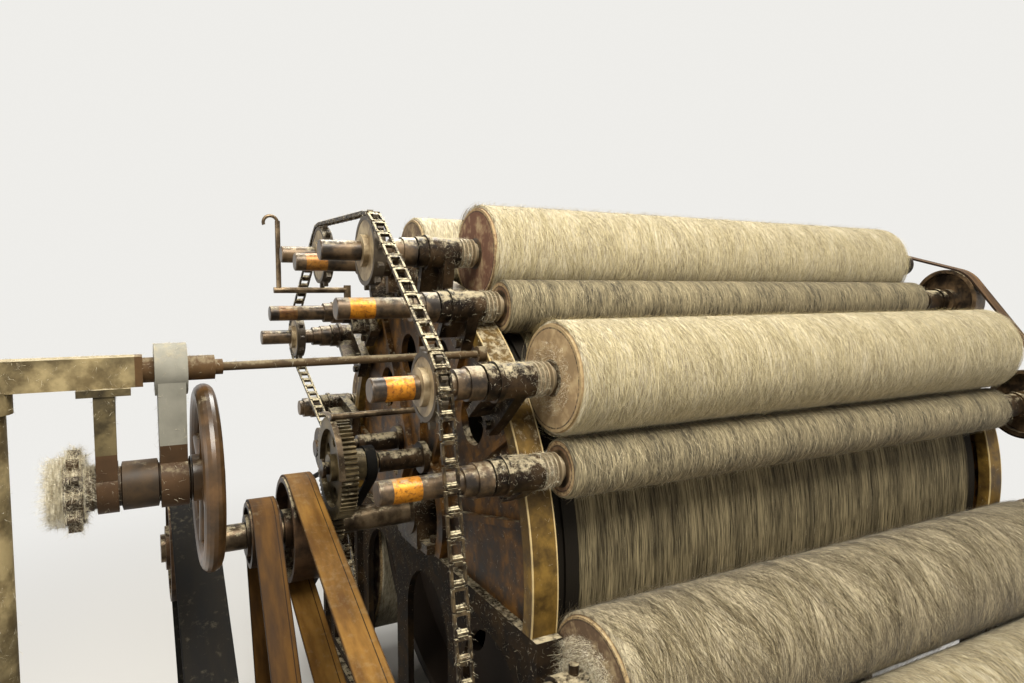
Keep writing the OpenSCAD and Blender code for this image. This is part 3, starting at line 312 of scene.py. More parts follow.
print("world fill", FILL_STRENGTH, "and background", PALE[:3])

# %% [markdown]
# ## Floor
# The floor is matt and pale and holds the machine's shadow. Far from the machine it glows in
# exactly the colour of the background, so that no horizon shows.

# %% Floor
floor_mesh = bpy.data.meshes.new("floor")
FLOOR_HALF = 20
GLOW_FROM, GLOW_TO = 1.2, 4.5
corners = [(FLOOR_HALF * x, FLOOR_HALF * y, 0) for x, y in ((-1, -1), (1, -1), (1, 1), (-1, 1))]
floor_mesh.from_pydata(corners, [], [(0, 1, 2, 3)])
floor = bpy.data.objects.new("floor", floor_mesh)
bpy.context.collection.objects.link(floor)
floor_paint, tree, shader = new_material("floor_paint", 0.95, 0.0, 0.0)
connect(tree, shader, Base_Color=(0.50, 0.49, 0.47, 1))
matt = tree.nodes["Principled BSDF"]
away = place(tree, "ShaderNodeVectorMath", {0: spot(tree)}, operation="LENGTH").outputs["Value"]
glow = place(tree, "ShaderNodeEmission", {"Color": PALE})
over = place(tree, "ShaderNodeMixShader", {
    0: ease(tree, away, GLOW_FROM, GLOW_TO), 1: matt.outputs[0], 2: glow.outputs[0]})
connect(tree, tree.nodes["Material Output"].inputs, Surface=over.outputs[0])
floor_mesh.materials.append(floor_paint)
print("floor goes over into the background between", GLOW_FROM, "and", GLOW_TO, "m")

# %% [markdown]
# ## Lint and grime
# In a carding room, wool dust settles on everything. It lies thick on faces that look up,
# thinner on upright faces, and oil holds dark grime under it. One group makes these masks from
# the direction of the surface and three sizes of noise, and every iron part uses it.

# %% Group: lint and grime
lint_group, given, result = new_group(
    "lint_and_grime", {"Lint": 0.4, "Scale": 1.0}, ["Lint", "Grime", "Tone", "Height"])
tree = lint_group
coordinates = place(tree, "ShaderNodeTexCoord").outputs
where = scaled(tree, coordinates["Object"], given["Scale"])
upward = ease(tree, split(tree, coordinates["Normal"])["Z"], -0.3, 0.95)
flecks = noise(tree, where, 60.0, 8.0, 0.7)
patches = noise(tree, where, 9.0, 5.0, 0.6)
level = calc(tree, "MULTIPLY_ADD", upward, 0.34, times(tree, given["Lint"], 0.42))
level = calc(tree, "ADD", level, calc(tree, "MULTIPLY_ADD", patches, 0.5, -0.25))
covered = calc(tree, "ADD", flecks, level)
fine = noise(tree, where, 240.0, 3.0, 0.6)
thick = ease(tree, covered, 0.86, 1.2)
connect(
    tree, result,
    Lint=ease(tree, covered, 0.86, 1.08),
    Grime=ease(tree, patches, 0.42, 0.62),
    Tone=noise(tree, where, 24.0, 6.0, 0.6),
    Height=calc(tree, "MULTIPLY_ADD", thick, 0.8, times(tree, fine, 0.25)))

# %% [markdown]
# ## Round parts
# The same roller has an oily shaft, a dull end disc and a woolly cover. Rather than cut the
# mesh up, a group measures how far a point is from the roller's axis and how far it lies
# outside the drive end, and the material chooses by those two numbers.

# %% Group: distance from an axis
round_group, given, result = new_group(
    "round_part", {"Axis Y": 0.0, "Axis Z": 1.0, "End X": 0.0}, ["Radius", "Out", "Turn"])
tree = round_group
point = split(tree, spot(tree))
across = calc(tree, "SUBTRACT", point["Y"], given["Axis Y"])
upright = calc(tree, "SUBTRACT", point["Z"], given["Axis Z"])
squares = calc(tree, "MULTIPLY_ADD", across, across, times(tree, upright, upright))
connect(
    tree, result,
    Radius=calc(tree, "SQRT", squares),
    Out=calc(tree, "SUBTRACT", given["End X"], point["X"]),
    Turn=calc(tree, "ARCTAN2", times(tree, upright, -1.0), times(tree, across, -1.0)))



def measure(tree, y, z):
    """How far a point lies from an axis, and outside the drive end."""
    return use_group(tree, round_group, Axis_Y=y, Axis_Z=z, End_X=DRIVE_END)


print("the drive end is at x", round(DRIVE_END, 3))

# %% [markdown]
# ## Streaks of fibre
# Wool on a roller is drawn out round it, so its streaks run the way the roller turns and are
# short along it. Noise in unrolled coordinates (along the roller, and round it) that is
# stretched in the round direction gives them, in two widths, with a slow change of tone.

# %% Group: streaks of fibre
streak_group, given, result = new_group(
    "fibre_streaks", {"Axis Y": 0.0, "Axis Z": 1.0, "Fineness": 500.0, "Stretch": 12.0, "Slant": 0.1},
    ["Streak", "Clump", "Height"])
tree = streak_group
measured = use_group(tree, round_group, Axis_Y=given["Axis Y"], Axis_Z=given["Axis Z"])
girth = times(tree, measured["Turn"], measured["Radius"])
along = calc(tree, "MULTIPLY_ADD", girth, given["Slant"], split(tree, spot(tree))["X"])
unrolled = place(tree, "ShaderNodeCombineXYZ", {
    "X": times(tree, along, given["Fineness"]),
    "Y": calc(tree, "DIVIDE", times(tree, girth, given["Fineness"]), given["Stretch"])}).outputs[0]
thin = noise(tree, unrolled, 1.0, 3.0, 0.6)
wide = noise(tree, stretched(tree, unrolled, (0.22, 0.3, 1.0)), 1.0, 4.0, 0.6)
slow = noise(tree, stretched(tree, unrolled, (0.025, 0.12, 1.0)), 1.0, 3.0, 0.5)
mixed = calc(tree, "MULTIPLY_ADD", thin, 0.6, times(tree, wide, 0.4))
connect(
    tree, result,
    Streak=ease(tree, mixed, 0.38, 0.62),
    Clump=ease(tree, slow, 0.35, 0.65),
    Height=mixed)

# %% [markdown]
# ## Iron, old paint and dust
# The frames and bearings are cast iron under old dark paint, grime and oil. The base colour
# goes between two browns, grime darkens it, and lint lies on top as a pale matt layer. A zone
# is a stretch of the part that has two browns of its own, such as a bare end of a painted beam.

# %% Iron
LINT = paint(168, 156, 128)


def toned(tree, masks, dark, light, low=0.35, high=0.65):
    return blend(tree, ease(tree, masks["Tone"], low, high), dark, light)


# The pale top layer is dust; on the chain it also stands for painted highlights on the links.
def iron(name, light, dark, rough=0.55, metal=0.2, lint=0.35, grain=0.0006, scale=1.0, dust_and_highlight=LINT, zones=()):
    material, tree, shader = new_material(name, rough, metal, 0.14)
    masks = use_group(tree, lint_group, Lint=lint, Scale=scale)
    body = toned(tree, masks, dark, light)
    body = blend(tree, masks["Grime"], body, paint(22, 17, 13), 0.55)
    body = blend(tree, masks["Lint"], body, dust_and_highlight)
    for zone_mask, zone_dark, zone_light in zones:
        zone = blend(tree, masks["Tone"], zone_dark, zone_light)
        zone = blend(tree, masks["Lint"], zone, dust_and_highlight, 0.4)
        body = blend(tree, zone_mask(tree), body, zone)
    dull = calc(tree, "MULTIPLY_ADD", masks["Tone"], 0.3, rough - 0.15)
    dull = calc(tree, "MAXIMUM", dull, times(tree, masks["Lint"], 0.95))
    clean = calc(tree, "SUBTRACT", 1.0, masks["Lint"])
    connect(tree, shader, Base_Color=body, Roughness=dull, Metallic=times(tree, clean, metal))
    bump(tree, shader, masks["Height"], grain)
    return material


frame_iron = iron("frame_iron", paint(50, 37, 20), paint(21, 15, 8), 0.85, 0.0, 0.3)
print("the frame's iron is built of", len(frame_iron.node_tree.nodes), "nodes")

# %% Dress the plain iron parts
dressed = set()


def dress(material, *names):
    for name in names:
        materials = nodes[name].data.materials
        if len(materials):
            for i in range(len(materials)):
                materials[i] = material
        else:
            materials.append(material)
        dressed.add(name)


dress(frame_iron, "left_side_frame", "right_side_frame", "cross_rails", "comb_brackets", "feed_housings")
dress(iron("oily_bearing_iron", paint(72, 56, 38), paint(24, 19, 14), 0.36, 0.35, 0.3, 0.0009),
      "swift_pedestals", "left_roller_bearings", "right_roller_bearings", "roller_pedestals",
      "drive_bracket", "drive_stands")
dress(iron("pulley_iron", paint(92, 70, 50), paint(52, 40, 30), 0.45, 0.4, 0.2),
      "belt_pulleys", "reduction_shaft", "drive_shaft", "stripper_drive_pulley")
dress(iron("gear_iron", paint(118, 104, 76), paint(66, 57, 40), 0.42, 0.5, 0.12),
      "swift_pinion", "stud_gear", "chain_driver")
# The chain's pale layer is lint, and also painted highlights on the links.
dress(iron("chain_iron", paint(92, 78, 56), paint(30, 24, 17), 0.4, 0.35, 0.36, 0.0006, 2.4,
           paint(206, 194, 160)), "worker_chain")
dress(iron("bar_steel", paint(126, 108, 84), paint(70, 58, 44), 0.35, 0.6, 0.12), "swift_shaft",
      "doffer_comb", "feed_roller_top", "feed_roller_bottom", "gear_guard", "hook_post")
dress(iron("idler_iron", paint(88, 74, 56), paint(48, 40, 31), 0.45, 0.4, 0.3),
      "lower_idler", "tension_idler")
print(len(dressed), "iron parts dressed")

# %% [markdown]
# ## The countershaft's beam and hangers
# The beam over the handwheel has worn cream paint, but its end towards the machine is bare
# rusty iron. The inner hanger is a silvery grey, and both hangers' bearings are brown with oil.
# Each of these is a zone, given by a place along X or by the distance from the shaft.

# %% Beam and hangers
PAINT_ENDS = DRIVE_END - 0.74
TIE_ROD_STARTS = DRIVE_END - 0.597
HANGER_BEARING_R = 0.075


def beyond(limit):
    """A mask for everything past a place along X."""
    return lambda tree: above(tree, split(tree, spot(tree))["X"], limit)


def round_axis(y, z, radius):
    """A mask for everything near an axis that lies along X."""
    return lambda tree: calc(tree, "LESS_THAN", measure(tree, y, z)["Radius"], radius)


dress(iron("beam_paint", paint(156, 140, 102), paint(104, 90, 62), 0.65, 0.0, 0.42, zones=[
    (beyond(PAINT_ENDS), paint(44, 32, 21), paint(104, 78, 48)),
    (beyond(TIE_ROD_STARTS), paint(30, 24, 17), paint(98, 78, 52))]), "overhead_beam")
dress(iron("hanger_paint", paint(104, 92, 64), paint(52, 45, 30), 0.55, 0.0, 0.3, zones=[
    (beyond(PAINT_ENDS), paint(104, 102, 92), paint(150, 147, 134)),
    (round_axis(*axis_of("handwheel"), HANGER_BEARING_R), paint(40, 29, 19), paint(84, 62, 40))]),
      "shaft_hangers")
print("the beam's paint ends at x", round(PAINT_ENDS, 3))

# %% [markdown]
# ## Bronze-coloured bends
# The bends are the half discs that carry the bearings. Their rims are worn to a yellow metal
# with pale edges, which are worn metal with a painted highlight on them, and their webs are rust
# brown. The distance from the swift's axis tells rim from web.

# %% Bends
RIM_INNER_R = 0.599
# Width of the rims' pale outer edge: worn metal with a painted highlight.
EDGE_HIGHLIGHT_WIDTH = 0.003


def coat(tree, shader, body, masks, unevenness, smooth, depth):
    """Colour, a shine that changes with the tone, and small bumps."""
    rough = calc(tree, "MULTIPLY_ADD", masks["Tone"], unevenness, smooth)
    connect(tree, shader, Base_Color=body, Roughness=rough)
    bump(tree, shader, masks["Height"], depth)


def bend_finish(node):
    material, tree, shader = new_material(node + "_bronzed", 0.5, 0.1, 0.25)
    masks = use_group(tree, lint_group, Lint=0.2)
    radius = measure(tree, SWIFT_Y, SWIFT_Z)["Radius"]
    web = toned(tree, masks, paint(44, 28, 10), paint(108, 73, 28))
    web = blend(tree, masks["Grime"], web, paint(24, 18, 14), 0.8)
    rim = toned(tree, masks, paint(62, 46, 18), paint(126, 98, 42), 0.3, 0.7)
    rim = blend(tree, masks["Grime"], rim, paint(46, 31, 15), 0.5)
    away, half = off_middle(tree, node)
    outer_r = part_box(node)[1].z - SWIFT_Z
    edge = times(tree, above(tree, away, half - EDGE_HIGHLIGHT_WIDTH), above(tree, radius, outer_r - EDGE_HIGHLIGHT_WIDTH))
    # The rim's outer corner is lightened: worn metal, and a painted highlight along it.
    worn_edge_highlight = calc(tree, "MULTIPLY", times(tree, edge, masks["Tone"]), 1.4, clamp=True)
    rim = blend(tree, worn_edge_highlight, rim, paint(214, 190, 138))
    body = blend(tree, above(tree, radius, RIM_INNER_R), web, rim)
    body = blend(tree, masks["Lint"], body, LINT)
    coat(tree, shader, body, masks, 0.4, 0.3, 0.0006)
    return material


for node in ("left_bend", "right_bend"):
    dress(bend_finish(node), node)
print("bends: rim from radius", RIM_INNER_R)

# %% [markdown]
# ## Wear of shafts and end discs
# Old varnish is speckled with dirt, dust sticks to the discs in soft smudges, and a ring that
# is painted on a disc wears off in spots. One group makes the three masks for all the rollers.

# %% Group: roller wear
wear_group, given, result = new_group("roller_wear", {}, ["Specks", "Smudge", "Worn"])
tree = wear_group
where = spot(tree)
connect(
    tree, result,
    Specks=ease(tree, noise(tree, where, 150.0, 5.0, 0.7), 0.5, 0.62),
    Smudge=ease(tree, noise(tree, where, 24.0, 6.0, 0.65), 0.46, 0.74),
    Worn=ease(tree, noise(tree, where, 180.0, 3.0, 0.6), 0.34, 0.6))

# %% [markdown]
# ## Rollers: shaft, end disc and cover
# On the drive side the worker and stripper shafts have an amber band of old varnish. The end
# discs are dull brown with pale dusty patches, and a pale worn ring at the edge. The cover
# under the wool is the same fibre colour but darker between the streaks: painted shade, so that
# gaps in the strands look deep, and on the strippers also their dark wire. Three short
# functions colour these places, and the next cell puts them together.

# %% Roller colours
SHAFT_R = 0.038
COVER_DEPTH = 0.006
VARNISH_BAND = (0.3235, 0.0265)
COLLAR = (0.0235, 0.0225)
PLATE_RINGS = ((0.0105, 0.003, paint(164, 142, 102)), (0.0155, 0.0016, paint(54, 41, 28)))


def shaft_colour(tree, masks, wear, out, band):
    shaft = toned(tree, masks, paint(38, 31, 24), paint(104, 84, 60))
    if band:
        varnish = toned(tree, masks, paint(148, 86, 10), paint(206, 138, 32), 0.3, 0.7)
        varnish = blend(tree, wear["Specks"], varnish, paint(92, 50, 10), 0.75)
        on_band = close_to(tree, out, *VARNISH_BAND)
        shaft = blend(tree, on_band, shaft, varnish, band)
    collar = close_to(tree, out, *COLLAR)
    shaft = blend(tree, collar, shaft, paint(168, 152, 122), 0.6)
    return blend(tree, masks["Lint"], shaft, LINT, 0.8)


def plate_colour(tree, masks, wear, radius, cover_r, disc):
    plate = toned(tree, masks, disc, darker(disc, 1.5), 0.4, 0.66)
    plate = blend(tree, masks["Lint"], plate, paint(196, 182, 146), 0.9)
    plate = blend(tree, wear["Smudge"], plate, paint(186, 168, 128), 0.75)
    for inset, reach, colour in PLATE_RINGS:
        ring = close_to(tree, radius, cover_r - inset, reach)
        plate = blend(tree, ring, plate, colour, wear["Worn"])
    return plate


def cover_colour(tree, fibres, light, dark):
    # Dark where streaks are few: painted shade in the gaps between fibres, and on the strippers also their
    # dark wire.
    depth = calc(tree, "MULTIPLY_ADD", fibres["Streak"], 0.7, times(tree, fibres["Clump"], 0.3))
    return blend(tree, depth, dark, light)


print("varnish band at", VARNISH_BAND[0], "m and collar at", COLLAR[0], "m out from the drive end")

# %% Roller material
SLICK, DULL = 0.22, 0.85


def roller_finish(node, cover_r, light, dark, disc, fineness=520.0, stretch=11.0, slant=0.16, band=0.0):
    y, z = axis_of(node)
    material, tree, shader = new_material(node + "_finish", 0.8)
    masks = use_group(tree, lint_group, Lint=0.25)
    wear = use_group(tree, wear_group)
    measured = measure(tree, y, z)
    fibres = use_group(tree, streak_group, Axis_Y=y, Axis_Z=z, Fineness=fineness, Stretch=stretch,
                       Slant=slant)
    shaft = shaft_colour(tree, masks, wear, measured["Out"], band)
    plate = plate_colour(tree, masks, wear, measured["Radius"], cover_r, disc)
    on_plate = above(tree, measured["Radius"], SHAFT_R)
    on_cover = above(tree, measured["Radius"], cover_r - COVER_DEPTH)
    away = calc(tree, "ABSOLUTE", calc(tree, "ADD", measured["Out"], ROLLER_HALF))
    outside = above(tree, away, ROLLER_HALF + 0.001)
    body = blend(tree, on_plate, shaft, plate)
    body = blend(tree, on_cover, body, cover_colour(tree, fibres, light, dark))
    body = blend(tree, outside, body, shaft)
    bare = calc(tree, "MAXIMUM", calc(tree, "SUBTRACT", 1.0, on_plate), outside)
    slick = calc(tree, "MULTIPLY_ADD", masks["Tone"], 0.3, SLICK - DULL)
    rough = calc(tree, "MULTIPLY_ADD", bare, slick, DULL)
    connect(tree, shader, Base_Color=body, Roughness=rough, Metallic=times(tree, bare, 0.4))
    tall = calc(tree, "MULTIPLY_ADD", fibres["Height"], on_cover, times(tree, masks["Height"], 0.5))
    bump(tree, shader, tall, 0.0016)
    dress(material, node)


print("roughness is", SLICK, "on the shafts and", DULL, "on wool")

# %% Dress the rollers
WORKER_DISCS = (paint(140, 117, 84), paint(98, 66, 48), paint(96, 78, 60), paint(96, 78, 60))
WORKER_BANDS = (1.0, 0.0, 0.0, 0.0)
STRIPPER_BANDS = (1.0, 1.0, 0.5, 0.25)
BROWN_DISC = paint(92, 72, 52)
# The darker cover colour of each roller is painted shade between the fibres; on the strippers it is also
# the dark wire.
for i in PAIRS:
    roller_finish(f"worker_{i}", WORKER_R, paint(204, 194, 166), paint(112, 100, 76), WORKER_DISCS[i - 1],
                  band=WORKER_BANDS[i - 1])
    roller_finish(f"stripper_{i}", STRIPPER_R, paint(158, 145, 112), paint(32, 28, 21), paint(96, 70, 46),
                  420.0, 14.0, 0.05, STRIPPER_BANDS[i - 1])
roller_finish("transfer_roller", TRANSFER_R, paint(188, 176, 146), paint(84, 74, 56), BROWN_DISC)
roller_finish("licker_in", LICKER_R, paint(188, 178, 150), paint(100, 90, 68), BROWN_DISC)
roller_finish("fancy", FANCY_R, paint(96, 86, 70), paint(46, 40, 32), paint(80, 62, 44), 300.0, 8.0, 0.0)
roller_finish("doffer", DOFFER_R, paint(184, 174, 148), paint(86, 78, 62), paint(86, 66, 48))
print(2 * len(PAIRS) + 4, "rollers dressed")

# %% [markdown]
# ## The swift
# The swift's wire is dark, and the wool on it is only a film: upright pale streaks that fade
# in and out. A strip at each end is bare.

# %% Swift
BARE_STRIP = 0.062
SWIFT_FACE_R = 0.59


def swift_finish():
    material, tree, shader = new_material("swift_wire", 0.7, 0.15, 0.12)
    fibres = use_group(tree, streak_group, Axis_Y=SWIFT_Y, Axis_Z=SWIFT_Z, Fineness=650.0, Stretch=40.0,
                       Slant=0.0)
    measured = measure(tree, SWIFT_Y, SWIFT_Z)
    thickness = times(tree, fibres["Streak"], calc(tree, "MULTIPLY_ADD", fibres["Clump"], 0.6, 0.4))
    body = blend(tree, thickness, paint(38, 33, 24), paint(156, 142, 109))
    away = calc(tree, "ABSOLUTE", calc(tree, "ADD", measured["Out"], ROLLER_HALF))
    body = blend(tree, above(tree, away, ROLLER_HALF - BARE_STRIP), body, paint(28, 24, 18))
    body = blend(tree, calc(tree, "LESS_THAN", measured["Radius"], SWIFT_FACE_R), body, paint(40, 32, 25))
    connect(tree, shader, Base_Color=body)
    bump(tree, shader, fibres["Height"], 0.0012)
    return material


dress(swift_finish(), "swift_drum")
print("the swift's wire is", round(2 * (ROLLER_HALF - BARE_STRIP), 3), "m wide")

# %% [markdown]
# ## Sprockets
# The chain wheels are plain turned discs, pale with dust and polish, with dark oily teeth. A
# tooth starts a little inside the pitch circle, which follows from the count of teeth.

# %% Sprockets
CHAIN_PITCH = 0.0415
TOOTH_ROOT = 0.0175


def sprocket_finish(node, teeth):
    y, z = axis_of(node)
    material, tree, shader = new_material(node + "_finish", 0.5, 0.3)
    masks = use_group(tree, lint_group, Lint=0.2)
    radius = measure(tree, y, z)["Radius"]
    disc = toned(tree, masks, paint(112, 94, 66), paint(182, 164, 130))
    disc = blend(tree, masks["Grime"], disc, paint(84, 70, 50), 0.3)
    tooth = blend(tree, masks["Tone"], paint(34, 28, 22), paint(92, 80, 62))
    pitch_radius = teeth * CHAIN_PITCH / (2 * math.pi)
    body = blend(tree, above(tree, radius, pitch_radius - TOOTH_ROOT), disc, tooth)
    body = blend(tree, masks["Lint"], body, LINT, 0.7)
    coat(tree, shader, body, masks, 0.4, 0.3, 0.0004)
    dress(material, node)


for i, teeth in zip(PAIRS, (11, 13, 13, 11)):
    sprocket_finish(f"worker_sprocket_{i}", teeth)
print("sprockets of 11 and 13 teeth dressed")

# %% [markdown]
# ## Leather marks
# Leather that has run for years over pulleys has long soft marks along the belt, and under them
# the fine grain of the hide. Every belt uses both, so they are one group.

# %% Group: leather marks
leather_group, given, result = new_group("leather_marks", {"Hide": 900.0}, ["Marks", "Height"])
tree = leather_group
where = spot(tree)
marks = noise(tree, stretched(tree, where, (34.0, 7.0, 7.0)), 1.0, 5.0, 0.55)
hide = noise(tree, where, given["Hide"], 2.0, 0.5)
connect(tree, result, Marks=marks, Height=calc(tree, "MULTIPLY_ADD", marks, 0.5, times(tree, hide, 0.2)))

# %% [markdown]
# ## Leather belts
# Flat belts of tan leather carry two of the drives. The leather is smooth and a little shiny,
# with darker edges, and on two belts a thin dark line runs along the belt near one edge. The wide
# driving belt and the doffer's belt are black and dusty.

# %% Belts
def belt_finish(name, node, light, dark, rough=0.6, dark_line_at=0.0):
    low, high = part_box(node)
    material, tree, shader = new_material(name, rough, 0.0, 0.12)
    leather = use_group(tree, leather_group)
    masks = use_group(tree, lint_group, Lint=0.0)
    body = blend(tree, ease(tree, leather["Marks"], 0.3, 0.7), dark, light)
    body = blend(tree, masks["Grime"], body, darker(dark, 0.5), 0.25)
    away, half = off_middle(tree, node)
    inset = calc(tree, "SUBTRACT", half, away)
    body = blend(tree, ease(tree, inset, 0.004, 0.0), body, darker(dark, 0.45))
    # A thin dark line runs along the belt, at a given share of its width in from the high-X edge.
    if dark_line_at:
        dark_line = close_to(tree, split(tree, spot(tree))["X"], high.x - (high.x - low.x) * dark_line_at, 0.0012)
        body = blend(tree, dark_line, body, paint(36, 24, 14), 0.85)
    body = blend(tree, masks["Lint"], body, LINT, 0.12)
    worn = calc(tree, "MULTIPLY_ADD", leather["Marks"], 0.3, rough - 0.15)
    connect(tree, shader, Base_Color=body, Roughness=worn)
    bump(tree, shader, leather["Height"], 0.0002)
    dress(material, node)
    print(node, "is", round(high.x - low.x, 3), "m wide")


belt_finish("tan_leather", "licker_belt", paint(136, 100, 46), paint(94, 64, 26), dark_line_at=0.2)
belt_finish("brown_leather", "chain_drive_belt", paint(100, 69, 28), paint(60, 39, 14), dark_line_at=0.16)
belt_finish("worn_leather", "stripper_belt", paint(110, 84, 56), paint(60, 44, 30))
belt_finish("black_belting", "main_belt", paint(24, 21, 16), paint(11, 10, 8), 0.75)
belt_finish("black_belting_narrow", "doffer_belt", paint(24, 21, 16), paint(11, 10, 8), 0.75)

# %% [markdown]
# ## Painted hand shaft and handwheel
# The handwheel's rim is smooth brown paint, polished by hands, so it has a clear coat and wide
# soft highlights. The sleeve it sits on is the same paint, but duller.

# %% Painted parts
def brown_paint(name, light, dark, rough, gloss):
    material, tree, shader = new_material(name, rough, 0.0, 0.25)
    connect(tree, shader, Coat_Weight=gloss, Coat_Roughness=0.22)
    masks = use_group(tree, lint_group, Lint=0.02, Scale=0.7)
    body = toned(tree, masks, dark, light, 0.3, 0.7)
    body = blend(tree, masks["Grime"], body, paint(38, 27, 17), 0.35)
    body = blend(tree, masks["Lint"], body, LINT, 0.6)
    coat(tree, shader, body, masks, 0.3, rough - 0.12, 0.0002)
    return material


dress(brown_paint("polished_rim_paint", paint(98, 70, 38), paint(50, 36, 19), 0.36, 0.3), "handwheel")
dress(brown_paint("sleeve_paint", paint(72, 54, 32), paint(34, 26, 16), 0.5, 0.0), "hand_shaft")
print("handwheel and its sleeve dressed")

# %% [markdown]
# ## Wood grain
# Grain is noise that is stretched along the board: a small number stretches it far, and a large
# one keeps it fine. The group takes one number for each direction.

# %% Group: wood grain
grain_group, given, result = new_group(
    "wood_grain", {"Along X": 60.0, "Along Y": 60.0, "Along Z": 60.0}, ["Grain"])
tree = grain_group
board = place(tree, "ShaderNodeCombineXYZ", {axis: given["Along " + axis] for axis in "XYZ"}).outputs[0]
connect(tree, result, Grain=noise(tree, stretched(tree, spot(tree), board), 1.0, 6.0, 0.65))

# %% [markdown]
# ## Wooden feed table
# The table's boards and the lattice's slats are old pale wood in two tones, with wool dust in
# the corners. The side boards lie along Y, the front board along X, and the legs stand up, so
# their grain turns with them.

# %% Wood
LEG_THICK = 0.030


def wood(name, light, dark, *boards):
    """The first board is everywhere, and each later one only where its mask is 1."""
    material, tree, shader = new_material(name, 0.7)
    masks = use_group(tree, lint_group, Lint=0.3)
    grain = 0.0
    for mask, (x, y, z) in boards:
        own = use_group(tree, grain_group, Along_X=x, Along_Y=y, Along_Z=z)["Grain"]
        grain = own if mask is None else calc(
            tree, "MULTIPLY_ADD", mask(tree), calc(tree, "SUBTRACT", own, grain), grain)
    body = blend(tree, ease(tree, grain, 0.35, 0.65), dark, light)
    body = blend(tree, masks["Lint"], body, paint(186, 176, 148))
    connect(tree, shader, Base_Color=body)
    bump(tree, shader, grain, 0.0008)
    return material


def faces_front(tree):
    normal = place(tree, "ShaderNodeTexCoord").outputs["Normal"]
    return above(tree, calc(tree, "ABSOLUTE", split(tree, normal)["Y"]), 0.7)


def on_leg(tree):
    away, half = off_middle(tree, "feed_table")
    return above(tree, away, half - LEG_THICK + 0.0005)


dress(wood("table_boards", paint(140, 108, 70), paint(92, 66, 42),
           (None, (60, 5, 60)), (faces_front, (4, 60, 60)), (on_leg, (60, 60, 4))), "feed_table")
dress(wood("lattice_slats", paint(176, 146, 102), paint(120, 92, 60), (None, (4, 80, 80))),
      "feed_lattice", "lattice_roller_front", "lattice_roller_back")
print("CAD parts without a finish:", sorted(set(nodes) - dressed))

# %% [markdown]
# ## Wool as strands
# A bump map alone can't give wool its soft broken edge. So every roller gets thousands of thin
# strands: narrow ribbons that lie round the roller, bend a little, taper to a point and lift off
# at the tip. Each one is two quads and a tip at most, which keeps the whole machine under a
# million triangles. All of them are made at once with arrays, from a fixed random seed.

# %% Ribbons from points
def strand_mesh(name, points, half_width, sideways):
    """Ribbons through points (strand, step, xyz) that taper to their last point."""
    count, steps = points.shape[:2]
    taper = np.linspace(1.0, 0.55, steps - 1)[None, :, None]
    side = sideways * half_width[:, None, None] * taper
    body = np.stack([points[:, :-1] - side, points[:, :-1] + side], axis=2).reshape(count, -1, 3)
    verts = np.concatenate([body, points[:, -1:]], axis=1).reshape(-1, 3)
    per = 2 * (steps - 1) + 1
    start = np.arange(count)[:, None] * per
    quads = [start + np.array([[2 * k, 2 * k + 1, 2 * k + 3, 2 * k + 2]]) for k in range(steps - 2)]
    quads = np.concatenate(quads, axis=1).reshape(-1, 4)
    tips = start + np.array([[per - 3, per - 2, per - 1]])
    sides = np.concatenate([np.full(len(quads), 4), np.full(len(tips), 3)])
    mesh = bpy.data.meshes.new(name)
    mesh.vertices.add(len(verts))
    mesh.vertices.foreach_set("co", verts.astype(np.float32).ravel())
    mesh.loops.add(int(sides.sum()))
    mesh.loops.foreach_set("vertex_index", np.concatenate([quads.ravel(), tips.ravel()]).astype(np.int32))
    mesh.polygons.add(len(sides))
    mesh.polygons.foreach_set("loop_start", np.concatenate([[0], np.cumsum(sides)[:-1]]).astype(np.int32))
    mesh.polygons.foreach_set("loop_total", sides.astype(np.int32))
    mesh.update(calc_edges=True)
    mesh.validate()
    piece = bpy.data.objects.new(name, mesh)
    bpy.context.collection.objects.link(piece)
    return piece


def tone_strands(piece, count, tones, shares, seed):
    """Give every strand one of a few tones by chance."""
    for material in tones:
        piece.data.materials.append(material)
    pick = np.random.default_rng(seed + 1000).choice(len(tones), count, p=shares)
    quads_each = len(piece.data.polygons) // count - 1
    index = np.concatenate([np.repeat(pick, quads_each), pick])
    piece.data.polygons.foreach_set("material_index", index.astype(np.int32))


print("a strand of 4 points is 2 quads and a tip, which makes 5 triangles")

# %% [markdown]
# ## Strands that lie round a roller
# A strand starts at a chance place on the cover and takes a few steps round it. Its lean along
# the roller comes from slow waves, so that neighbours lean the same way and lie in locks. A few
# strands are loose: they are thinner, lift higher and go their own way.

# %% Strands round a roller
def wrap(name, node, radius, count, length, width, slant, lift, seed,
         steps=4, margin=0.002, loose=0.11, flow=0.16):
    rng = np.random.default_rng(seed)
    y, z = axis_of(node)
    reach = ROLLER_HALF - margin
    x = rng.uniform(-reach, reach, count)
    angle = rng.uniform(0, 2 * math.pi, count)
    wild = rng.random(count) < loose
    run = length * rng.uniform(0.55, 1.2, count)
    tip = np.where(wild, lift * rng.uniform(1.5, 5.0, count), lift * rng.uniform(0.1, 1.0, count))
    own = rng.normal(0, 0.05, count) + np.where(wild, rng.normal(0, 0.5, count), 0)
    points = np.zeros((count, steps, 3))
    for k in range(steps):
        t = k / (steps - 1)
        rise = radius + 0.0003 + tip * (0.35 * math.sin(t * math.pi) + t * t)
        where = (ROLLER_MID + x, y + rise * np.cos(angle), z + rise * np.sin(angle))
        points[:, k] = np.stack(where, axis=1)
        lean = np.sin(19 * x + 2 * angle + seed) + 0.8 * np.sin(47 * x - 3 * angle)
        lean += 0.6 * np.sin(113 * x + 5 * angle)
        x = np.clip(x + run / (steps - 1) * (slant + flow * lean + own), -reach - 0.003, reach + 0.003)
        angle = angle + run / (steps - 1) / radius
    half = width * rng.uniform(0.5, 1.15, count) / 2 * np.where(wild, 0.45, 1.0)
    return strand_mesh(name, points, half, np.array([1.0, 0.0, 0.0]))


print("one strand in nine is loose")

# %% [markdown]
# ## Curls
# Lint is shorter and curlier than the wool on a roller. A curl starts at a given point, leaves
# the surface a little, and turns by chance at each step. None of them goes through the floor.

# %% Curls
ABOVE_FLOOR = 0.001


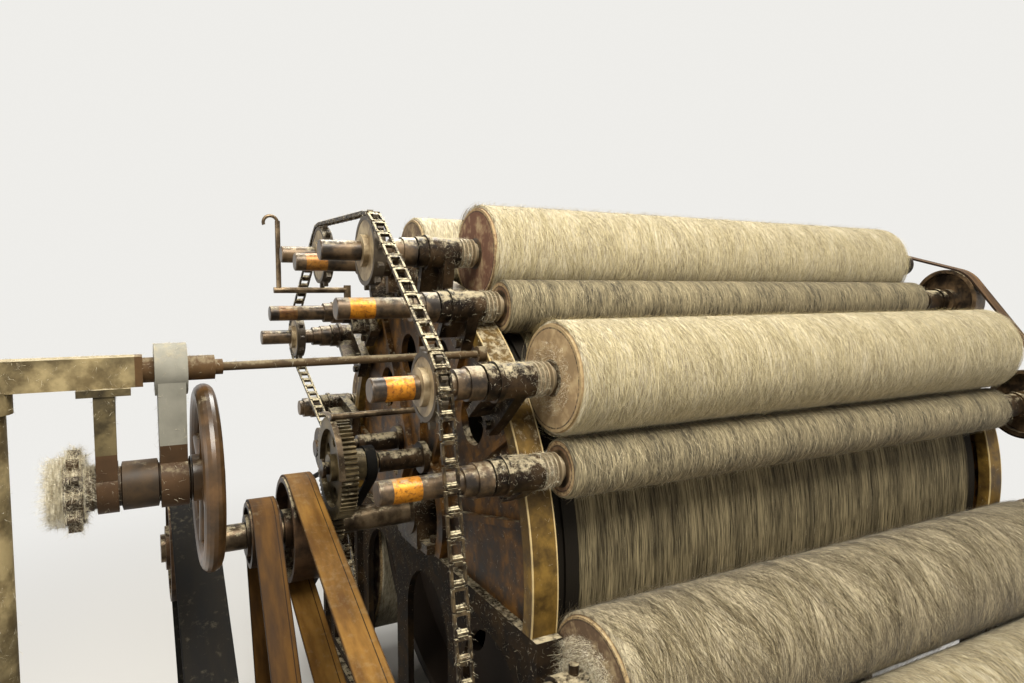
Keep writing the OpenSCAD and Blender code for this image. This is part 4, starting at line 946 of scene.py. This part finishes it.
def curls(name, starts, normals, length, width, seed, stand=0.5, steps=3):
    rng = np.random.default_rng(seed)
    count = len(starts)
    heading = rng.normal(0, 1, (count, 3))
    heading -= normals * np.sum(heading * normals, axis=1, keepdims=True)
    heading += normals * stand * rng.uniform(0.1, 1.0, (count, 1))
    run = length * rng.uniform(0.4, 1.3, (count, 1)) / (steps - 1)
    points = np.zeros((count, steps, 3))
    here = starts + normals * 0.0004
    for k in range(steps):
        points[:, k] = here
        heading = heading / np.linalg.norm(heading, axis=1, keepdims=True)
        here = here + heading * run
        heading = heading + rng.normal(0, 0.45, (count, 3)) + np.array([0, 0, -0.12])
    points[:, :, 2] = np.maximum(points[:, :, 2], ABOVE_FLOOR)
    side = rng.normal(0, 1, (count, 3))
    side /= np.linalg.norm(side, axis=1, keepdims=True)
    return strand_mesh(name, points, width * rng.uniform(0.5, 1.2, count) / 2, side[:, None, :])


print("a curl of 3 points is 1 quad and a tip")

# %% [markdown]
# ## Fibre tones
# Single fibres differ in brightness, and so do whole tufts. A fine noise that is stretched round
# the roller gives the first, and a wide one the second, and all kinds of wool share the group.

# %% Group: fibre tones
tone_group, given, result = new_group("fibre_tones", {"Patch": 9.0}, ["Hair", "Bright"])
tree = tone_group
where = spot(tree)
hair = noise(tree, stretched(tree, where, (420.0, 40.0, 40.0)), 1.0, 2.0, 0.5)
patches = noise(tree, stretched(tree, where, (1.6, 1.0, 1.0)), given["Patch"], 3.0, 0.5)
connect(
    tree, result,
    Hair=ease(tree, hair, 0.3, 0.6),
    Bright=times(tree, ease(tree, hair, 0.5, 0.72), ease(tree, patches, 0.3, 0.6)))

# %% [markdown]
# ## Wool colour
# Each kind of wool has three materials, a pale, a middle and a deep one, that are made from the
# same three colours. Strands take one of them by chance, which keeps single hairs apart. A
# little sheen gives the soft glow of wool.

# %% Wool
def wool(name, light, mid, dark, sheen=0.25, patch=9.0):
    material, tree, shader = new_material(name, 0.9, 0.0, 0.2)
    fibre = use_group(tree, tone_group, Patch=patch)
    body = blend(tree, fibre["Hair"], dark, mid)
    connect(tree, shader, Base_Color=blend(tree, fibre["Bright"], body, light), Sheen_Weight=sheen)
    return material


def wool_tones(name, light, mid, dark, sheen=0.25):
    return [wool(name + "_pale", light, between(light, mid), mid, sheen),
            wool(name + "_middle", between(light, mid), mid, between(mid, dark), sheen),
            wool(name + "_deep", mid, between(mid, dark), dark, sheen)]


PALE_END = paint(222, 208, 170)
worker_wool = wool_tones("worker_wool", paint(226, 213, 176), paint(182, 169, 131), paint(118, 104, 74),
                         0.15)
grey_wool = wool_tones("stripper_wool", PALE_END, paint(116, 104, 78), paint(42, 36, 26), 0.15)
coarse_wool = wool_tones("transfer_wool", PALE_END, paint(120, 107, 78), paint(54, 45, 31))
licker_wool = wool_tones("licker_wool", paint(214, 200, 162), paint(160, 146, 110), paint(92, 80, 56))
film_wool = wool_tones("swift_film", paint(196, 182, 146), paint(116, 104, 78), paint(54, 47, 34), 0.1)
white_lint = wool("loose_lint", paint(240, 234, 214), paint(206, 196, 168), paint(150, 138, 110), 0.3, 20.0)
print("five kinds of wool in three tones, and lint")

# %% [markdown]
# ## Laying the wool
# One function lays the strands, gives them their tones and lets the piece ride on its roller, so
# that it turns with it. The workers carry the thickest wool: long cream fibres that lean with
# the turning. The two nearest the feed get most strands, because they fill the picture.

# %% Wool on the workers
FLEECE, WIRE = "fleece_cover", "wire_cover"


def lay(name, roller, tones, slot, radius, count, seed, shares=(0.34, 0.4, 0.26), body=None, **shape):
    count = count if FULL else count // 2
    piece = wrap(name, roller, radius, count, seed=seed, **shape)
    tone_strands(piece, count, tones, shares, seed)
    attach(piece, body or roller)
    print(name, count, "strands")


for i, count in zip(PAIRS, (28000, 22000, 4500, 4000)):
    lay(f"worker_{i}_wool", f"worker_{i}", worker_wool, FLEECE, WORKER_R, count, 10 + i,
        length=0.115, width=0.00115, slant=0.10, lift=0.0028)

# %% [markdown]
# ## Wool on the other rollers
# The strippers show dark wire between pale curved fibres. The transfer roller below carries
# coarse wool with long curved locks, and the licker-in a thick pale layer. The swift has only
# a film of straight fibres.

# %% Strippers, transfer roller, licker-in, fancy, doffer and swift
for i, count in zip(PAIRS, (11000, 9000, 2500, 2500)):
    lay(f"stripper_{i}_wool", f"stripper_{i}", grey_wool, WIRE, STRIPPER_R, count, 20 + i,
        (0.25, 0.27, 0.48), length=0.075, width=0.00085, slant=0.04, lift=0.0020, flow=0.12)
lay("transfer_wool", "transfer_roller", coarse_wool, FLEECE, TRANSFER_R, 26000, 31, (0.24, 0.34, 0.42),
    length=0.125, width=0.00120, slant=0.30, lift=0.0050, loose=0.18, flow=0.34)
lay("licker_wool", "licker_in", licker_wool, FLEECE, LICKER_R, 9000, 32,
    length=0.075, width=0.0016, slant=0.2, lift=0.004)
lay("fancy_wool", "fancy", grey_wool, WIRE, FANCY_R, 2500, 33,
    length=0.04, width=0.0012, slant=0.0, lift=0.002)
lay("doffer_wool", "doffer", coarse_wool, FLEECE, DOFFER_R, 6000, 34,
    length=0.07, width=0.0018, slant=0.0, lift=0.002, margin=0.01)
lay("swift_film_wool", "swift_shaft", film_wool, "swift_iron", SWIFT_R, 12000, 35, body="swift",
    length=0.09, width=0.0006, slant=0.0, lift=0.0010, steps=3, margin=0.085, loose=0.0, flow=0.02)

# %% [markdown]
# ## A halo of loose ends
# Seen against the light, every woolly roller has a soft edge of single fibres that stand off it.
# They are thinner than the rest and each starts at the surface and leaves it at its tip.

# %% Loose ends
HALOS = (("worker_1", FLEECE, worker_wool, WORKER_R, 8000),
         ("worker_2", FLEECE, worker_wool, WORKER_R, 6500),
         ("transfer_roller", FLEECE, coarse_wool, TRANSFER_R, 7000),
         ("stripper_1", WIRE, grey_wool, STRIPPER_R, 2500),
         ("stripper_2", WIRE, grey_wool, STRIPPER_R, 2000),
         ("licker_in", FLEECE, licker_wool, LICKER_R, 3000))
for seed, (node, slot, tones, radius, count) in enumerate(HALOS, 60):
    lay(node + "_halo", node, tones, slot, radius, count, seed, (0.85, 0.15, 0.0),
        length=0.055, width=0.0019, slant=0.1, lift=0.0027, steps=3, loose=1.0)

# %% [markdown]
# ## Points on iron
# Short curly fibres cling to every cold part near the wool. To spread them evenly, points are
# drawn on the parts' own triangles by area, with more of them where a face looks up.

# %% Points on the CAD parts
def surface_points(names, count, seed, keep=None):
    corners = []
    for name in names:
        mesh = nodes[name].data
        mesh.calc_loop_triangles()
        where = np.empty(len(mesh.vertices) * 3)
        mesh.vertices.foreach_get("co", where)
        index = np.empty(len(mesh.loop_triangles) * 3, dtype=np.int32)
        mesh.loop_triangles.foreach_get("vertices", index)
        corners.append(where.reshape(-1, 3)[index].reshape(-1, 3, 3))
    corners = np.concatenate(corners)
    if keep is not None:
        corners = corners[keep(corners.mean(axis=1))]
    normal = np.cross(corners[:, 1] - corners[:, 0], corners[:, 2] - corners[:, 0])
    area = np.linalg.norm(normal, axis=1) + 1e-12
    normal = normal / area[:, None]
    rng = np.random.default_rng(seed)
    chance = area * np.clip(normal[:, 2] + 0.45, 0.08, None)
    pick = rng.choice(len(area), count, p=chance / chance.sum())
    a, b = rng.random(count), rng.random(count)
    flip = a + b > 1
    a, b = np.where(flip, 1 - a, a)[:, None], np.where(flip, 1 - b, b)[:, None]
    first, second, third = corners[pick].transpose(1, 0, 2)
    return first + a * (second - first) + b * (third - first), normal[pick]


print("points are drawn by area, and most of them on faces that look up")

# %% [markdown]
# ## Lint that clings
# The bearings beside the wool are the most covered. The chain, the ledges of the frame, the beam
# and the idle sprocket of the hand shaft catch their own share.

# %% Lint on the iron
def settle(piece, body):
    """Colour a piece of lint and let it ride on its body."""
    piece.data.materials.append(white_lint)
    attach(piece, body)
    print(piece.name, len(piece.data.polygons), "faces")


def cling(name, names, count, length, width, seed, keep=None, stand=0.5, body="frame"):
    starts, normals = surface_points(names, count if FULL else count // 2, seed, keep)
    settle(curls(name, starts, normals, length, width, seed, stand), body)


def on_drive_side(points):
    return points[:, 0] < DRIVE_END + 0.02


def on_drive_ledges(points):
    return on_drive_side(points) & (points[:, 2] > 0.5)


def on_hand_sprocket(points):
    return points[:, 0] < -1.16


# piece, parts that it lies on, count, length, width, seed
cling("bearing_lint", ["left_roller_bearings", "swift_pedestals"],
      13000, 0.014, 0.00042, 41, on_drive_side)
cling("bend_lint", ["left_bend", "left_side_frame", "drive_bracket", "gear_guard"],
      9000, 0.010, 0.0004, 42)
cling("far_side_lint", ["right_roller_bearings", "right_bend", "right_side_frame"],
      3000, 0.012, 0.0005, 43)
cling("chain_lint", ["worker_chain"], 7000, 0.010, 0.0006, 44)
cling("beam_lint", ["overhead_beam", "shaft_hangers"], 3000, 0.012, 0.0005, 45)
cling("hand_sprocket_lint", ["hand_shaft"], 7000, 0.02, 0.0006, 46,
      on_hand_sprocket, stand=0.7, body="hand_shaft")
cling("ledge_lint", ["left_side_frame", "roller_pedestals"],
      6000, 0.013, 0.0004, 47, on_drive_ledges)

# %% [markdown]
# ## Tufts that turn with a roller
# Lint winds itself round a shaft wherever it finds a corner, so a tuft is a ring of curls. A
# ring looks the same at every angle of the roller. Its place is given out from the drive end.

# %% Tufts on collars and roller ends
def ring_tuft(name, roller, body, out, half, r_low, r_high, count, length, width, seed):
    rng = np.random.default_rng(seed)
    y, z = axis_of(roller)
    turn = rng.uniform(0, 2 * math.pi, count)
    radius = rng.uniform(r_low, r_high, count)
    radial = np.stack([np.zeros(count), np.cos(turn), np.sin(turn)], axis=1)
    starts = radial * radius[:, None] + np.array([0.0, y, z])
    starts[:, 0] = DRIVE_END - out + half * rng.uniform(-1, 1, count)
    settle(curls(name, starts, radial, length, width, seed, 0.4), body)


# out, half width, low and high radius, count, length, width, seed
for i in (1, 2):
    for kind, slot in (("worker", FLEECE), ("stripper", WIRE)):
        roller = f"{kind}_{i}"
        ring_tuft(roller + "_collar_lint", roller, roller,
                  0.040, 0.016, 0.024, 0.037, 1600, 0.014, 0.0005, 50 + i)
ring_tuft("worker_1_disc_lint", "worker_1", "worker_1",
          0.003, 0.002, 0.034, 0.075, 1500, 0.012, 0.0005, 58)
ring_tuft("transfer_end_lint", "transfer_roller", "transfer_roller",
          0.008, 0.010, 0.03, 0.10, 7000, 0.03, 0.0006, 53)
ring_tuft("hand_hub_lint", "handwheel", "hand_shaft",
          0.862, 0.012, 0.02, 0.058, 7000, 0.022, 0.0006, 54)
